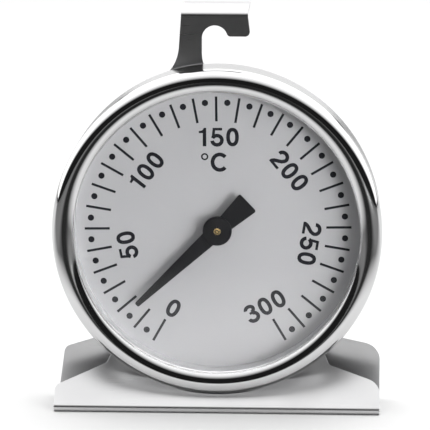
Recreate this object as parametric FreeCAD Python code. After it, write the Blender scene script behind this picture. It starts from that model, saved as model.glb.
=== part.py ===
import FreeCAD, Part
import math
import os

# Oven thermometer: a round bimetal dial instrument on a pressed sheet stand with a rack hook.
# Millimetres. +Z is up, the dial faces -Y, and x = 0 is the dial's axis.
# The origin is on the table, at the middle of the stand's footprint.

Vec = FreeCAD.Vector

# ---- Stand: one stainless sheet, folded --------------------------------------------------
sheet = 0.6                     # sheet thickness
bend_inner = 0.2                # inside radius of the two bends at the table
bend_outer = bend_inner + sheet
base_depth = 12.4               # front bend to the rear face of the back plate
table_gap = 3.2                 # between the table and the bezel

recline = 45.0                  # front flange, degrees back from vertical
flange_shoulder_left = 4.1      # flange height at the left edge, along its slope
flange_shoulder_right = 5.3     # and at the right edge
flange_neck_height = 9.0        # where the shoulders reach the neck
flange_neck_half = 20.5
flange_neck_taper = 20.0        # neck edges lean in, degrees
flange_neck_reach = 6.0         # neck length before the saddle is cut from it
saddle_clearance = 0.1          # gap between the flange's cut edge and the bezel

small_corner = 1.5
large_corner = 3.4
neck_corner = 1.0

plate_left_lean = 1.2           # the left edge of the back plate leans in by this much
plate_shoulder_left = 9.4
plate_shoulder_right = 10.1
plate_neck_height = 12.3
plate_neck_half = 19.5
plate_waist_half = 16.5         # width behind the case
plate_waist_drop = 12.0         # waist starts this far below the dial axis
plate_top_rise = 21.0           # top of the wide part above the dial axis
plate_fillet = 6.0
strip_slope = 0.96              # rise over run of the edge from the plate to the strip

# ---- Hook ---------------------------------------------------------------------------------
hook_rise = 9.3                 # top face above the bezel
strip_left = -6.95              # at the top
strip_flare = 0.6               # how much wider the strip is at its foot
strip_right = -3.1
strip_fillet = 7.5
nose_right = 5.3                # at the top
nose_flare = 0.45               # how much further right its lower corner is
nose_corner = 0.9
notch_radius = 2.33             # takes a rack wire
notch_rise = 4.3                # notch centre above the bezel
nose_inner_corner = 0.7
nose_rise = 4.6                 # lower edge of the nose above the bezel
hook_bend_inner = 0.4
hook_depth = 10.2               # flat length of the top flange behind the bend
lip_bend_inner = 0.8
lip_angle = 55.0
lip_length = 0.4

# ---- Case ---------------------------------------------------------------------------------
case_radius = 29.8
case_wall = 0.4
floor_thickness = 0.5
case_corner = 0.9
joggle_step = 0.4               # the wall steps in under the bezel
joggle_length = 1.95            # from the step to the rim
rim_lead = 0.05                 # rim in front of the centre of the bezel's rounding

# ---- Bezel --------------------------------------------------------------------------------
bezel_overhang = 0.2            # bezel beyond the case
bezel_wall = 0.5
bezel_groove = 0.3              # open groove between the case's step and the bezel's skirt
bezel_round = 2.0               # outer rounding
bezel_slope_round = 2.5         # rounding towards the glass
lip_land = 0.3                  # width of the lip's contact on the glass
bezel_band = 4.0                # from the bezel's edge to its opening

# ---- Dial and glass stack ------------------------------------------------------------------
stack_clearance = 0.15          # between the stacked discs and the case wall
dial_thickness = 0.4
dial_lift = 0.05                # dial above the front bushing's flange
dial_hole_clearance = 0.1       # about the front bushing's collar
spacer_setback = 0.15           # inside radius behind the bezel's opening
spacer_chamfer = 0.4
seat_setback = 0.25             # behind the spacer's inside radius
gasket_setback = 0.35
gasket_thickness = 0.3
glass_thickness = 1.3
glass_gap = 0.645               # between the arbor's tip and the glass
glass_bevel = 0.25

# ---- Movement -----------------------------------------------------------------------------
running = 0.04                  # radial running clearance of the arbor
press = 0.01                    # radial gap that stands for a press fit
axial_play = 0.05

arbor_radius = 0.65
pivot_radius = 0.4
arbor_stand_out = 0.3           # arbor's tip in front of the hub
arbor_tip_chamfer = 0.2
clip_groove_radius = 0.45
clip_mouth = 0.8                # share of the groove's radius that the mouth leaves open

rear_flange_radius = 2.0
rear_flange_thickness = 0.35
rear_spigot_radius = 1.2
pivot_floor = 0.15              # metal left behind the blind pivot bore

washer_radius = 1.3
washer_thickness = 0.12
collet_radius = 1.5
coil_width = 1.4
coil_thickness = 0.28
coil_turns = 5.25
coil_gap = 0.3                  # air between the coil's edges and its neighbours
coil_outer_radius = 8.4
coil_points_per_turn = 16

bridge_thickness = 0.5
bridge_width = 5.0
bridge_half_span = 10.5         # outer faces of the legs
bridge_foot_length = 4.0
bridge_hole = 1.5
front_flange_radius = 2.1
front_flange_thickness = 0.25
front_collar_radius = 1.8
front_collar_thickness = 0.15
front_spigot_radius = 1.35
front_spigot_length = 1.3
bridge_rivet_radius = 0.6

stud_radius = 0.9
stud_shank_radius = 0.55
stud_slot_clearance = 0.1

# ---- Pointer ------------------------------------------------------------------------------
pointer_angle = 226.5           # clockwise from straight up at rest
pointer_reach_gap = 5.75        # from its tip to the spacer ring
pointer_root_half = 1.55
pointer_tip_half = 0.45
pointer_tip_rounding = 0.6      # share of the tip's half width
pointer_tail = 7.7
pointer_tail_root_half = 1.3
pointer_tail_half = 2.2
pointer_tail_corner = 0.35
pointer_thickness = 0.45
hub_radius = 2.65
hub_thickness = 0.5
hub_edge_round = 0.15
hub_boss_radius = 1.3
hub_boss_gap = 0.24             # from the clip to the boss
hub_boss_length = 0.65

# ---- Case rivets --------------------------------------------------------------------------
case_rivet_circle = 14.5
case_rivet_count = 3
case_rivet_shank = 0.9
case_rivet_head = 1.7
case_rivet_head_height = 0.75
case_rivet_inner_head = 1.5
case_rivet_inner_height = 0.4
rivet_hole_clearance = 0.03

# ---- Places worked out from the sizes -----------------------------------------------------
stand_width = 2.0 * case_radius
bezel_radius = case_radius + bezel_overhang
bezel_opening = bezel_radius - bezel_band
dial_height = bezel_radius + table_gap
hook_top = bezel_radius + hook_rise
notch_height = bezel_radius + notch_rise
nose_drop = bezel_radius + nose_rise
plate_rear_y = base_depth / 2.0
plate_front_y = plate_rear_y - sheet
stand_front_y = -base_depth / 2.0
stack_radius = case_radius - joggle_step - case_wall - stack_clearance
spacer_inner = bezel_opening + spacer_setback
gasket_inner = spacer_inner + gasket_setback
seat_ring_inner = spacer_inner + seat_setback
pointer_length = spacer_inner - pointer_reach_gap
dial_hole = front_collar_radius + dial_hole_clearance
rear_washer_depth = floor_thickness + rear_flange_thickness + axial_play
collet_rear_depth = rear_washer_depth + washer_thickness
coil_rear_depth = floor_thickness + rear_flange_thickness + coil_gap
coil_front_depth = coil_rear_depth + coil_width
bridge_rear_depth = coil_front_depth + coil_gap + front_collar_thickness
bridge_front_depth = bridge_rear_depth + bridge_thickness
dial_rear_depth = bridge_front_depth + front_flange_thickness + dial_lift
dial_front_depth = dial_rear_depth + dial_thickness
front_spigot_depth = bridge_front_depth + front_flange_thickness + front_spigot_length
front_washer_depth = front_spigot_depth + axial_play
clip_rear_depth = front_washer_depth + washer_thickness + axial_play
clip_front_depth = clip_rear_depth + 2.0 * washer_thickness
hub_boss_depth = clip_front_depth + hub_boss_gap
pointer_front_depth = hub_boss_depth + hub_boss_length + pointer_thickness
arbor_tip_depth = pointer_front_depth + hub_thickness + arbor_stand_out
glass_rear_depth = arbor_tip_depth + glass_gap
glass_front_depth = glass_rear_depth + glass_thickness
gasket_rear_depth = glass_rear_depth - gasket_thickness
slope_inner_round = bezel_slope_round - bezel_wall
lip_land_radius = bezel_opening + lip_land
lip_inner_reach = bezel_radius - bezel_round - lip_land_radius
bezel_slope_centre = glass_front_depth - math.sqrt(slope_inner_round ** 2 - lip_inner_reach ** 2)
bezel_round_depth = bezel_slope_centre + bezel_slope_round - bezel_round
bezel_slope_angle = math.asin((bezel_radius - bezel_round - bezel_opening) / bezel_slope_round)
bezel_lip_depth = bezel_slope_centre + bezel_slope_round * math.cos(bezel_slope_angle)
case_rim_depth = bezel_round_depth + rim_lead
joggle_depth = case_rim_depth - joggle_length
stud_ring_radius = coil_outer_radius + coil_thickness / 2.0
tolerance = 1e-6                # for telling which edge a place is on


# ---- Helpers ------------------------------------------------------------------------------
def depth_y(depth):
    """Depth in front of the case's rear face, as a y coordinate."""
    return plate_front_y - depth


def axis_point(depth, x=0.0, rise=0.0):
    """A point given by its depth and its place from the dial's axis."""
    return Vec(x, depth_y(depth), dial_height + rise)


def disc(radius, rear, front, x=0.0, rise=0.0):
    """A round slice about the dial's axis, between two depths."""
    return Part.makeCylinder(radius, front - rear, axis_point(rear, x, rise), Vec(0, -1, 0))


def ring(outer, inner, rear, front):
    """A flat ring about the dial's axis."""
    return disc(outer, rear, front).cut(disc(inner, rear, front))


def segment(start, end):
    """A straight edge."""
    return Part.LineSegment(start, end).toShape()


def rounded_wire(points, radii):
    """A closed outline through corner points, each corner rounded by its own radius."""
    count = len(points)
    entries = []
    exits = []
    edges = []
    for index, corner in enumerate(points):
        back = (points[index - 1] - corner).normalize()
        ahead = (points[(index + 1) % count] - corner).normalize()
        half_angle = back.getAngle(ahead) / 2.0
        trim = radii[index] / math.tan(half_angle)
        entries.append(corner + back * trim)
        exits.append(corner + ahead * trim)
    for index, corner in enumerate(points):
        if radii[index] > 0.0:
            middle = (entries[index] + exits[index]) * 0.5 - corner
            reach = math.hypot((entries[index] - corner).Length, radii[index])
            near = middle.normalize() * (reach - radii[index]) + corner
            edges.append(Part.Arc(entries[index], near, exits[index]).toShape())
        edges.append(segment(exits[index], entries[(index + 1) % count]))
    return Part.Wire(edges)


def revolve_section(edges):
    """A ring-shaped solid from a section drawn at x = radius, z = dial height."""
    face = Part.Face(Part.Wire(edges))
    return face.revolve(axis_point(0.0), Vec(0, 1, 0), 360)


def bend(centre_y, centre_z, inner, outer, start, turn, left, right):
    """A bent strip of sheet whose axis runs along x; angles in degrees in the y-z plane."""
    first = math.radians(start)
    last = math.radians(start + turn)
    middle = (first + last) / 2.0

    def at(radius, angle):
        return Vec(left, centre_y + radius * math.cos(angle), centre_z + radius * math.sin(angle))

    edges = [
        Part.Arc(at(outer, first), at(outer, middle), at(outer, last)).toShape(),
        segment(at(outer, last), at(inner, last)),
        Part.Arc(at(inner, last), at(inner, middle), at(inner, first)).toShape(),
        segment(at(inner, first), at(outer, first)),
    ]
    return Part.Face(Part.Wire(edges)).extrude(Vec(right - left, 0, 0))


def plate_from_wire(wire, direction):
    """A flat plate of sheet from its outline."""
    return Part.Face(wire).extrude(direction)


def box_between(low, high):
    """A box from its lowest to its highest corner."""
    size = high - low
    return Part.makeBox(size.x, size.y, size.z, low)


# ---- Stand bracket ------------------------------------------------------------------------
def back_plate_outline():
    """The back plate with its shoulders, waist and strip; seen from the front."""
    half = stand_width / 2.0
    neck = plate_neck_half
    waist = plate_waist_half
    low_waist = dial_height - plate_waist_drop
    high_waist = dial_height + plate_top_rise
    strip_low = strip_left - strip_flare
    shoulder_run = waist + strip_low
    strip_foot = high_waist + shoulder_run * strip_slope
    strip_top = dial_height + hook_top - hook_bend_inner - sheet
    corners = [
        (-half, bend_outer, 0.0),
        (plate_left_lean - half, plate_shoulder_left, small_corner),
        (-neck, plate_neck_height, neck_corner),
        (-waist, low_waist, plate_fillet),
        (-waist, high_waist, plate_fillet),
        (strip_low, strip_foot, strip_fillet),
        (strip_left, strip_top, 0.0),
        (strip_right, strip_top, 0.0),
        (strip_right, high_waist + plate_fillet, plate_fillet),
        (waist, high_waist, plate_fillet),
        (waist, low_waist, plate_fillet),
        (neck, plate_neck_height, neck_corner),
        (half, plate_shoulder_right, large_corner),
        (half, bend_outer, 0.0),
    ]
    points = [Vec(x, plate_front_y, z) for x, z, radius in corners]
    return rounded_wire(points, [radius for x, z, radius in corners])


def hook_head():
    """The head above the strip, with the notch for a rack wire."""
    top = dial_height + hook_top - hook_bend_inner - sheet
    low = dial_height + nose_drop
    notch_x = strip_right + notch_radius
    notch_z = dial_height + notch_height
    inside = (strip_left + strip_right) / 2.0
    corners = [
        (inside, notch_z, 0.0),
        (inside, top, 0.0),
        (nose_right, top, 0.0),
        (nose_right + nose_flare, low, nose_corner),
        (notch_x, low, 0.0),
        (notch_x, notch_z, 0.0),
    ]
    points = [Vec(x, plate_front_y, z) for x, z, radius in corners]
    head = plate_from_wire(rounded_wire(points, [radius for x, z, radius in corners]), Vec(0, sheet, 0))
    head = head.cut(Part.makeCylinder(
        notch_radius, sheet, Vec(notch_x, plate_front_y, notch_z), Vec(0, 1, 0)))
    corner_x = notch_x + math.sqrt(notch_radius ** 2 - (low - notch_z) ** 2)
    corner = [edge for edge in head.Edges if all(
        math.hypot(vertex.X - corner_x, vertex.Z - low) < tolerance for vertex in edge.Vertexes)]
    return head.makeFillet(nose_inner_corner, corner)


def hook_flange():
    """The top of the hook: bent back level, with a small lip turned up at its end."""
    outer = hook_bend_inner + sheet
    bend_y = plate_front_y + outer
    bend_z = dial_height + hook_top - outer
    pieces = [bend(bend_y, bend_z, hook_bend_inner, outer, 90.0, 90.0, strip_left, nose_right)]
    top_z = dial_height + hook_top
    pieces.append(box_between(
        Vec(strip_left, bend_y, top_z - sheet),
        Vec(nose_right, bend_y + hook_depth, top_z)))
    lip_y = bend_y + hook_depth
    lip_z = top_z + lip_bend_inner
    pieces.append(bend(
        lip_y, lip_z, lip_bend_inner, lip_bend_inner + sheet, -90.0, lip_angle, strip_left, nose_right))
    turn = math.radians(lip_angle)
    along = Vec(0, math.cos(turn), math.sin(turn))
    inward = Vec(0, -math.sin(turn), math.cos(turn))
    start = Vec(strip_left, lip_y, lip_z) - inward * (lip_bend_inner + sheet)
    end = start + along * lip_length
    outline = Part.makePolygon([start, end, end + inward * sheet, start + inward * sheet, start])
    pieces.append(Part.Face(outline).extrude(Vec(nose_right - strip_left, 0, 0)))
    return pieces


def front_flange():
    """The reclined front flange, saddle-cut to sit just outside the round case."""
    tilt = math.radians(recline)
    normal = Vec(0, -math.cos(tilt), math.sin(tilt))
    along = Vec(0, math.sin(tilt), math.cos(tilt))
    start = Vec(0, stand_front_y + bend_outer, bend_outer) + normal * bend_outer
    half = stand_width / 2.0
    neck_lean = flange_neck_reach * math.tan(math.radians(flange_neck_taper))
    neck_top = flange_neck_height + flange_neck_reach
    corners = [
        (-half, 0.0, 0.0),
        (-half, flange_shoulder_left, small_corner),
        (-flange_neck_half, flange_neck_height, neck_corner),
        (neck_lean - flange_neck_half, neck_top, 0.0),
        (flange_neck_half - neck_lean, neck_top, 0.0),
        (flange_neck_half, flange_neck_height, neck_corner),
        (half, flange_shoulder_right, large_corner),
        (half, 0.0, 0.0),
    ]
    points = [start + Vec(x, 0, 0) + along * height for x, height, radius in corners]
    flange = plate_from_wire(rounded_wire(points, [radius for x, height, radius in corners]), normal * -sheet)
    crown = bezel_radius - bezel_round
    rounding = bezel_round + saddle_clearance
    saddle = disc(bezel_radius + saddle_clearance, -base_depth, bezel_round_depth)
    saddle = saddle.fuse(disc(crown, bezel_round_depth, bezel_round_depth + rounding))
    saddle = saddle.fuse(Part.makeTorus(crown, rounding, axis_point(bezel_round_depth), Vec(0, -1, 0)))
    return flange.cut(saddle)


def make_stand_bracket():
    """The whole stand as one folded sheet with its rivet holes."""
    half = stand_width / 2.0
    plate = plate_from_wire(back_plate_outline(), Vec(0, sheet, 0))
    rear_bend = bend(
        plate_rear_y - bend_outer, bend_outer, bend_inner, bend_outer, -90.0, 90.0, -half, half)
    floor = box_between(
        Vec(-half, stand_front_y + bend_outer, 0.0), Vec(half, plate_rear_y - bend_outer, sheet))
    front_bend = bend(
        stand_front_y + bend_outer, bend_outer, bend_inner, bend_outer,
        -90.0, -(90.0 + recline), -half, half)
    pieces = [hook_head(), rear_bend, floor, front_bend, front_flange()] + hook_flange()
    bracket = plate.multiFuse(pieces).removeSplitter()
    for x, rise in rivet_places():
        hole = disc(case_rivet_shank + rivet_hole_clearance, -sheet, 0.0, x, rise)
        bracket = bracket.cut(hole)
    return bracket


# ---- Case ---------------------------------------------------------------------------------
def rivet_places():
    """Centres of the case rivets about the dial's axis, one of them straight below it."""
    places = []
    for index in range(case_rivet_count):
        angle = math.radians(-90.0 + 360.0 * index / case_rivet_count)
        places.append((case_rivet_circle * math.cos(angle), case_rivet_circle * math.sin(angle)))
    return places


def bridge_rivet_places():
    """Centres of the two rivets in the bridge's feet."""
    reach = bridge_half_span + bridge_foot_length / 2.0
    return [(-reach, 0.0), (reach, 0.0)]


def make_case_cup():
    """The drawn case: floor, rounded corner, wall, and the step in that the bezel covers."""
    step = case_radius - joggle_step
    inner_corner = case_corner - case_wall
    corner_centre = case_radius - case_corner
    diagonal = math.sqrt(0.5)

    def at(radius, depth):
        return axis_point(depth, radius)

    outer_mid = at(corner_centre + case_corner * diagonal, case_corner - case_corner * diagonal)
    inner_mid = at(corner_centre + inner_corner * diagonal,
                   floor_thickness + inner_corner - inner_corner * diagonal)
    wall = case_radius - case_wall
    edges = [
        segment(at(0.0, 0.0), at(corner_centre, 0.0)),
        Part.Arc(at(corner_centre, 0.0), outer_mid, at(case_radius, case_corner)).toShape(),
        segment(at(case_radius, case_corner), at(case_radius, joggle_depth)),
        segment(at(case_radius, joggle_depth), at(step, joggle_depth)),
        segment(at(step, joggle_depth), at(step, case_rim_depth)),
        segment(at(step, case_rim_depth), at(step - case_wall, case_rim_depth)),
        segment(at(step - case_wall, case_rim_depth), at(step - case_wall, joggle_depth - case_wall)),
        segment(at(step - case_wall, joggle_depth - case_wall), at(wall, joggle_depth - case_wall)),
        segment(at(wall, joggle_depth - case_wall), at(wall, floor_thickness + inner_corner)),
        Part.Arc(at(wall, floor_thickness + inner_corner), inner_mid,
                 at(corner_centre, floor_thickness)).toShape(),
        segment(at(corner_centre, floor_thickness), at(0.0, floor_thickness)),
        segment(at(0.0, floor_thickness), at(0.0, 0.0)),
    ]
    cup = revolve_section(edges)
    for x, rise in rivet_places():
        cup = cup.cut(disc(case_rivet_shank + rivet_hole_clearance, 0.0, floor_thickness, x, rise))
    for x, rise in bridge_rivet_places():
        cup = cup.cut(disc(bridge_rivet_radius + rivet_hole_clearance, 0.0, floor_thickness, x, rise))
    cup = cup.cut(disc(stud_shank_radius + rivet_hole_clearance, 0.0, floor_thickness,
                       0.0, -stud_ring_radius))
    return cup.cut(disc(rear_spigot_radius + press, 0.0, floor_thickness))


def make_bezel_ring():
    """The rolled bezel: skirt, outer rounding, inner slope and the lip on the glass."""
    crown = bezel_radius - bezel_round
    skirt_rear = joggle_depth + bezel_groove
    skirt_inner = bezel_radius - bezel_wall
    inner_round = bezel_round - bezel_wall
    apex = bezel_round_depth + bezel_round
    diagonal = math.sqrt(0.5)
    half_slope = bezel_slope_angle / 2.0
    land_angle = math.asin(lip_inner_reach / slope_inner_round)

    def at(radius, depth):
        return axis_point(depth, radius)

    def slope_at(radius, angle):
        return at(crown - radius * math.sin(angle), bezel_slope_centre + radius * math.cos(angle))

    edges = [
        segment(at(skirt_inner, skirt_rear), at(bezel_radius, skirt_rear)),
        segment(at(bezel_radius, skirt_rear), at(bezel_radius, bezel_round_depth)),
        Part.Arc(at(bezel_radius, bezel_round_depth),
                 at(crown + bezel_round * diagonal, bezel_round_depth + bezel_round * diagonal),
                 at(crown, apex)).toShape(),
        Part.Arc(at(crown, apex), slope_at(bezel_slope_round, half_slope),
                 at(bezel_opening, bezel_lip_depth)).toShape(),
        segment(at(bezel_opening, bezel_lip_depth), at(bezel_opening, glass_front_depth)),
        segment(at(bezel_opening, glass_front_depth), at(lip_land_radius, glass_front_depth)),
        Part.Arc(at(lip_land_radius, glass_front_depth), slope_at(slope_inner_round, land_angle / 2.0),
                 at(crown, apex - bezel_wall)).toShape(),
        Part.Arc(at(crown, apex - bezel_wall),
                 at(crown + inner_round * diagonal, bezel_round_depth + inner_round * diagonal),
                 at(skirt_inner, bezel_round_depth)).toShape(),
        segment(at(skirt_inner, bezel_round_depth), at(skirt_inner, skirt_rear)),
    ]
    return revolve_section(edges)


def make_case_rivets():
    """Domed rivets that hold the case to the back plate."""
    solids = []
    dome = (case_rivet_head ** 2 + case_rivet_head_height ** 2) / (2.0 * case_rivet_head_height)
    for x, rise in rivet_places():
        shank = disc(case_rivet_shank, -sheet, floor_thickness, x, rise)
        inner = disc(case_rivet_inner_head, floor_thickness,
                     floor_thickness + case_rivet_inner_height, x, rise)
        head_rear = -sheet - case_rivet_head_height
        ball = Part.makeSphere(dome, axis_point(head_rear + dome, x, rise))
        head = disc(case_rivet_head, head_rear, -sheet, x, rise).common(ball)
        solids.append(shank.multiFuse([inner, head]).removeSplitter())
    return Part.makeCompound(solids)


# ---- Dial and glass stack -----------------------------------------------------------------
def make_dial_seat_ring():
    """The ring that carries the dial plate off the case floor."""
    return ring(stack_radius, seat_ring_inner, floor_thickness, dial_rear_depth)


def make_dial_plate():
    """The dial plate with the hole for the front bearing."""
    return ring(stack_radius, dial_hole, dial_rear_depth, dial_front_depth)


def make_spacer_ring():
    """The bright ring between dial and glass, chamfered where it is seen."""
    outline = [
        axis_point(dial_front_depth, stack_radius),
        axis_point(gasket_rear_depth, stack_radius),
        axis_point(gasket_rear_depth, spacer_inner + spacer_chamfer),
        axis_point(gasket_rear_depth - spacer_chamfer, spacer_inner),
        axis_point(dial_front_depth, spacer_inner),
    ]
    edges = [segment(outline[index - 1], outline[index]) for index in range(len(outline))]
    return revolve_section(edges)


def make_lens_gasket():
    """The heat-proof gasket under the glass."""
    return ring(stack_radius, gasket_inner, gasket_rear_depth, glass_rear_depth)


def make_glass_lens():
    """The flat glass with its ground edge."""
    glass = disc(stack_radius, glass_rear_depth, glass_front_depth)
    rims = []
    for edge in glass.Edges:
        if isinstance(edge.Curve, Part.Circle):
            rims.append(edge)
    return glass.makeChamfer(glass_bevel, rims)


# ---- Movement -----------------------------------------------------------------------------
def make_rear_bushing():
    """The rear bearing: flange inside the case, spigot in its floor, blind pivot bore."""
    flange_front = floor_thickness + rear_flange_thickness
    flange = disc(rear_flange_radius, floor_thickness, flange_front)
    spigot = disc(rear_spigot_radius, 0.0, floor_thickness)
    bore = disc(pivot_radius + running, pivot_floor, flange_front)
    return flange.fuse(spigot).removeSplitter().cut(bore)


def make_movement_bridge():
    """The strap over the coil: level top, two legs and two riveted feet."""
    half_width = bridge_width / 2.0
    leg_inner = bridge_half_span - bridge_thickness
    top = box_between(
        Vec(-bridge_half_span, depth_y(bridge_front_depth), dial_height - half_width),
        Vec(bridge_half_span, depth_y(bridge_rear_depth), dial_height + half_width))
    parts = []
    for side in (-1.0, 1.0):
        leg_low = min(side * leg_inner, side * bridge_half_span)
        foot_end = side * (bridge_half_span + bridge_foot_length)
        foot_low = min(side * leg_inner, foot_end)
        foot_high = max(side * leg_inner, foot_end)
        parts.append(box_between(
            Vec(leg_low, depth_y(bridge_front_depth), dial_height - half_width),
            Vec(leg_low + bridge_thickness, depth_y(floor_thickness), dial_height + half_width)))
        parts.append(box_between(
            Vec(foot_low, depth_y(floor_thickness + bridge_thickness), dial_height - half_width),
            Vec(foot_high, depth_y(floor_thickness), dial_height + half_width)))
    bridge = top.multiFuse(parts).removeSplitter()
    bridge = bridge.cut(disc(bridge_hole + press, bridge_rear_depth, bridge_front_depth))
    for x, rise in bridge_rivet_places():
        hole = disc(bridge_rivet_radius + rivet_hole_clearance, floor_thickness,
                    floor_thickness + bridge_thickness, x, rise)
        bridge = bridge.cut(hole)
    return bridge


def make_bridge_rivets():
    """The two rivets in the bridge's feet, flush behind the case floor."""
    solids = []
    head_rear = floor_thickness + bridge_thickness
    for x, rise in bridge_rivet_places():
        shank = disc(bridge_rivet_radius, 0.0, head_rear, x, rise)
        head = disc(2.0 * bridge_rivet_radius, head_rear, head_rear + bridge_rivet_radius, x, rise)
        rim = [edge for edge in head.Edges if edge.CenterOfMass.y < depth_y(head_rear) - press]
        rim = [edge for edge in rim if isinstance(edge.Curve, Part.Circle)]
        head = head.makeFillet(0.5 * bridge_rivet_radius, rim)
        solids.append(shank.fuse(head).removeSplitter())
    return Part.makeCompound(solids)


def make_front_bushing():
    """The front bearing: collar, body in the bridge, flange and spigot through the dial."""
    collar_rear = bridge_rear_depth - front_collar_thickness
    flange_front = bridge_front_depth + front_flange_thickness
    pieces = [
        disc(bridge_hole, bridge_rear_depth, bridge_front_depth),
        disc(front_flange_radius, bridge_front_depth, flange_front),
        disc(front_spigot_radius, flange_front, front_spigot_depth),
    ]
    body = disc(front_collar_radius, collar_rear, bridge_rear_depth).multiFuse(pieces).removeSplitter()
    return body.cut(disc(arbor_radius + running, collar_rear, front_spigot_depth))


def make_anchor_stud():
    """The slotted stud that holds the coil's outer end."""
    stud_front = coil_front_depth + coil_gap / 2.0
    post = disc(stud_radius, floor_thickness, stud_front, 0.0, -stud_ring_radius)
    shank = disc(stud_shank_radius, 0.0, floor_thickness, 0.0, -stud_ring_radius)
    stud = post.fuse(shank).removeSplitter()
    half_slot = coil_thickness / 2.0 + stud_slot_clearance
    slot = box_between(
        Vec(-2.0 * stud_radius, depth_y(stud_front), dial_height - stud_ring_radius - half_slot),
        Vec(2.0 * stud_radius, depth_y(coil_rear_depth - stud_slot_clearance),
            dial_height - stud_ring_radius + half_slot))
    return stud.cut(slot)


def make_bimetal_coil():
    """The flat spiral of bimetal strip, from the collet out to the stud, with a straight end."""
    inner_radius = collet_radius + coil_thickness / 2.0 + running
    pitch = (stud_ring_radius - inner_radius) / coil_turns
    count = int(coil_turns * coil_points_per_turn)
    end_angle = math.radians(-90.0)
    start_angle = end_angle - 2.0 * math.pi * coil_turns
    tail = stud_radius + coil_thickness

    def spiral_points(offset):
        points = []
        for index in range(count + 1):
            share = index / count
            angle = start_angle + (end_angle - start_angle) * share
            radius = inner_radius + pitch * coil_turns * share + offset
            points.append(Vec(radius * math.cos(angle), depth_y(coil_rear_depth),
                              dial_height + radius * math.sin(angle)))
        return points

    half = coil_thickness / 2.0
    outer_points = spiral_points(half)
    inner_points = spiral_points(-half)
    outer = Part.BSplineCurve()
    outer.interpolate(outer_points)
    inner = Part.BSplineCurve()
    inner.interpolate(inner_points)
    outer_end = outer_points[-1] + Vec(tail, 0, 0)
    inner_end = inner_points[-1] + Vec(tail, 0, 0)
    edges = [
        outer.toShape(),
        segment(outer_points[-1], outer_end),
        segment(outer_end, inner_end),
        segment(inner_end, inner_points[-1]),
        inner.toShape(),
        segment(inner_points[0], outer_points[0]),
    ]
    wire = Part.Wire(Part.__sortEdges__(edges))
    return Part.Face(wire).extrude(Vec(0, -coil_width, 0))


def make_coil_collet():
    """The collet that turns the arbor with the coil's inner end."""
    front = coil_front_depth
    rear_part = ring(collet_radius, pivot_radius + press, collet_rear_depth, coil_rear_depth)
    front_part = ring(collet_radius, arbor_radius + press, coil_rear_depth, front)
    return rear_part.fuse(front_part).removeSplitter()


def make_arbor():
    """The arbor: rear pivot, body, clip groove and the chamfered end seen in the hub."""
    pivot_end = pivot_floor + axial_play
    pivot = disc(pivot_radius, pivot_end, coil_rear_depth)
    groove_rear = clip_rear_depth - axial_play / 2.0
    groove_front = clip_front_depth + axial_play / 2.0
    body = disc(arbor_radius, coil_rear_depth, groove_rear)
    neck = disc(clip_groove_radius, groove_rear, groove_front)
    straight_end = arbor_tip_depth - arbor_tip_chamfer
    front = disc(arbor_radius, groove_front, straight_end)
    tip = Part.makeCone(arbor_radius, arbor_radius - arbor_tip_chamfer, arbor_tip_chamfer,
                        axis_point(straight_end), Vec(0, -1, 0))
    return pivot.multiFuse([body, neck, front, tip]).removeSplitter()


def make_rear_washer():
    """The thrust washer on the rear pivot."""
    return ring(washer_radius, pivot_radius + running, rear_washer_depth, collet_rear_depth)


def make_front_washer():
    """The thrust washer in front of the front bearing."""
    front = front_washer_depth + washer_thickness
    return ring(washer_radius, arbor_radius + running, front_washer_depth, front)


def make_retaining_clip():
    """The open clip in the arbor's groove."""
    clip = ring(washer_radius, clip_groove_radius + press, clip_rear_depth, clip_front_depth)
    mouth = box_between(
        Vec(-clip_mouth * clip_groove_radius, depth_y(clip_front_depth), dial_height - 2.0 * washer_radius),
        Vec(clip_mouth * clip_groove_radius, depth_y(clip_rear_depth), dial_height))
    return clip.cut(mouth)


# ---- Pointer ------------------------------------------------------------------------------
def make_pointer_blade():
    """The flat pointer: tapered needle, round middle and a broad tail that balances it."""
    rear = pointer_front_depth - pointer_thickness
    turn = math.radians(pointer_angle)
    along = Vec(math.sin(turn), 0, math.cos(turn))
    side = Vec(math.cos(turn), 0, -math.sin(turn))
    base = axis_point(rear)
    corners = [
        (0.0, pointer_root_half, 0.0),
        (pointer_length, pointer_tip_half, pointer_tip_rounding * pointer_tip_half),
        (pointer_length, -pointer_tip_half, pointer_tip_rounding * pointer_tip_half),
        (0.0, -pointer_root_half, 0.0),
        (0.0, -pointer_tail_root_half, 0.0),
        (-pointer_tail, -pointer_tail_half, pointer_tail_corner),
        (-pointer_tail, pointer_tail_half, pointer_tail_corner),
        (0.0, pointer_tail_root_half, 0.0),
    ]
    points = [base + along * reach + side * width for reach, width, radius in corners]
    wire = rounded_wire(points, [radius for reach, width, radius in corners])
    blade = plate_from_wire(wire, Vec(0, -pointer_thickness, 0))
    middle = disc(hub_radius, rear, pointer_front_depth)
    blade = blade.fuse(middle).removeSplitter()
    return blade.cut(disc(hub_boss_radius + press, rear, pointer_front_depth))


def make_pointer_hub():
    """The pointer's hub: a boss on the arbor and the round cap in front of the blade."""
    front = pointer_front_depth + hub_thickness
    cap = disc(hub_radius, pointer_front_depth, front)
    rim = [edge for edge in cap.Edges if edge.CenterOfMass.y < depth_y(front) + press]
    rim = [edge for edge in rim if isinstance(edge.Curve, Part.Circle)]
    cap = cap.makeFillet(hub_edge_round, rim)
    boss = disc(hub_boss_radius, hub_boss_depth, pointer_front_depth)
    bore = disc(arbor_radius + press, hub_boss_depth, front)
    return cap.fuse(boss).removeSplitter().cut(bore)


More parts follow.
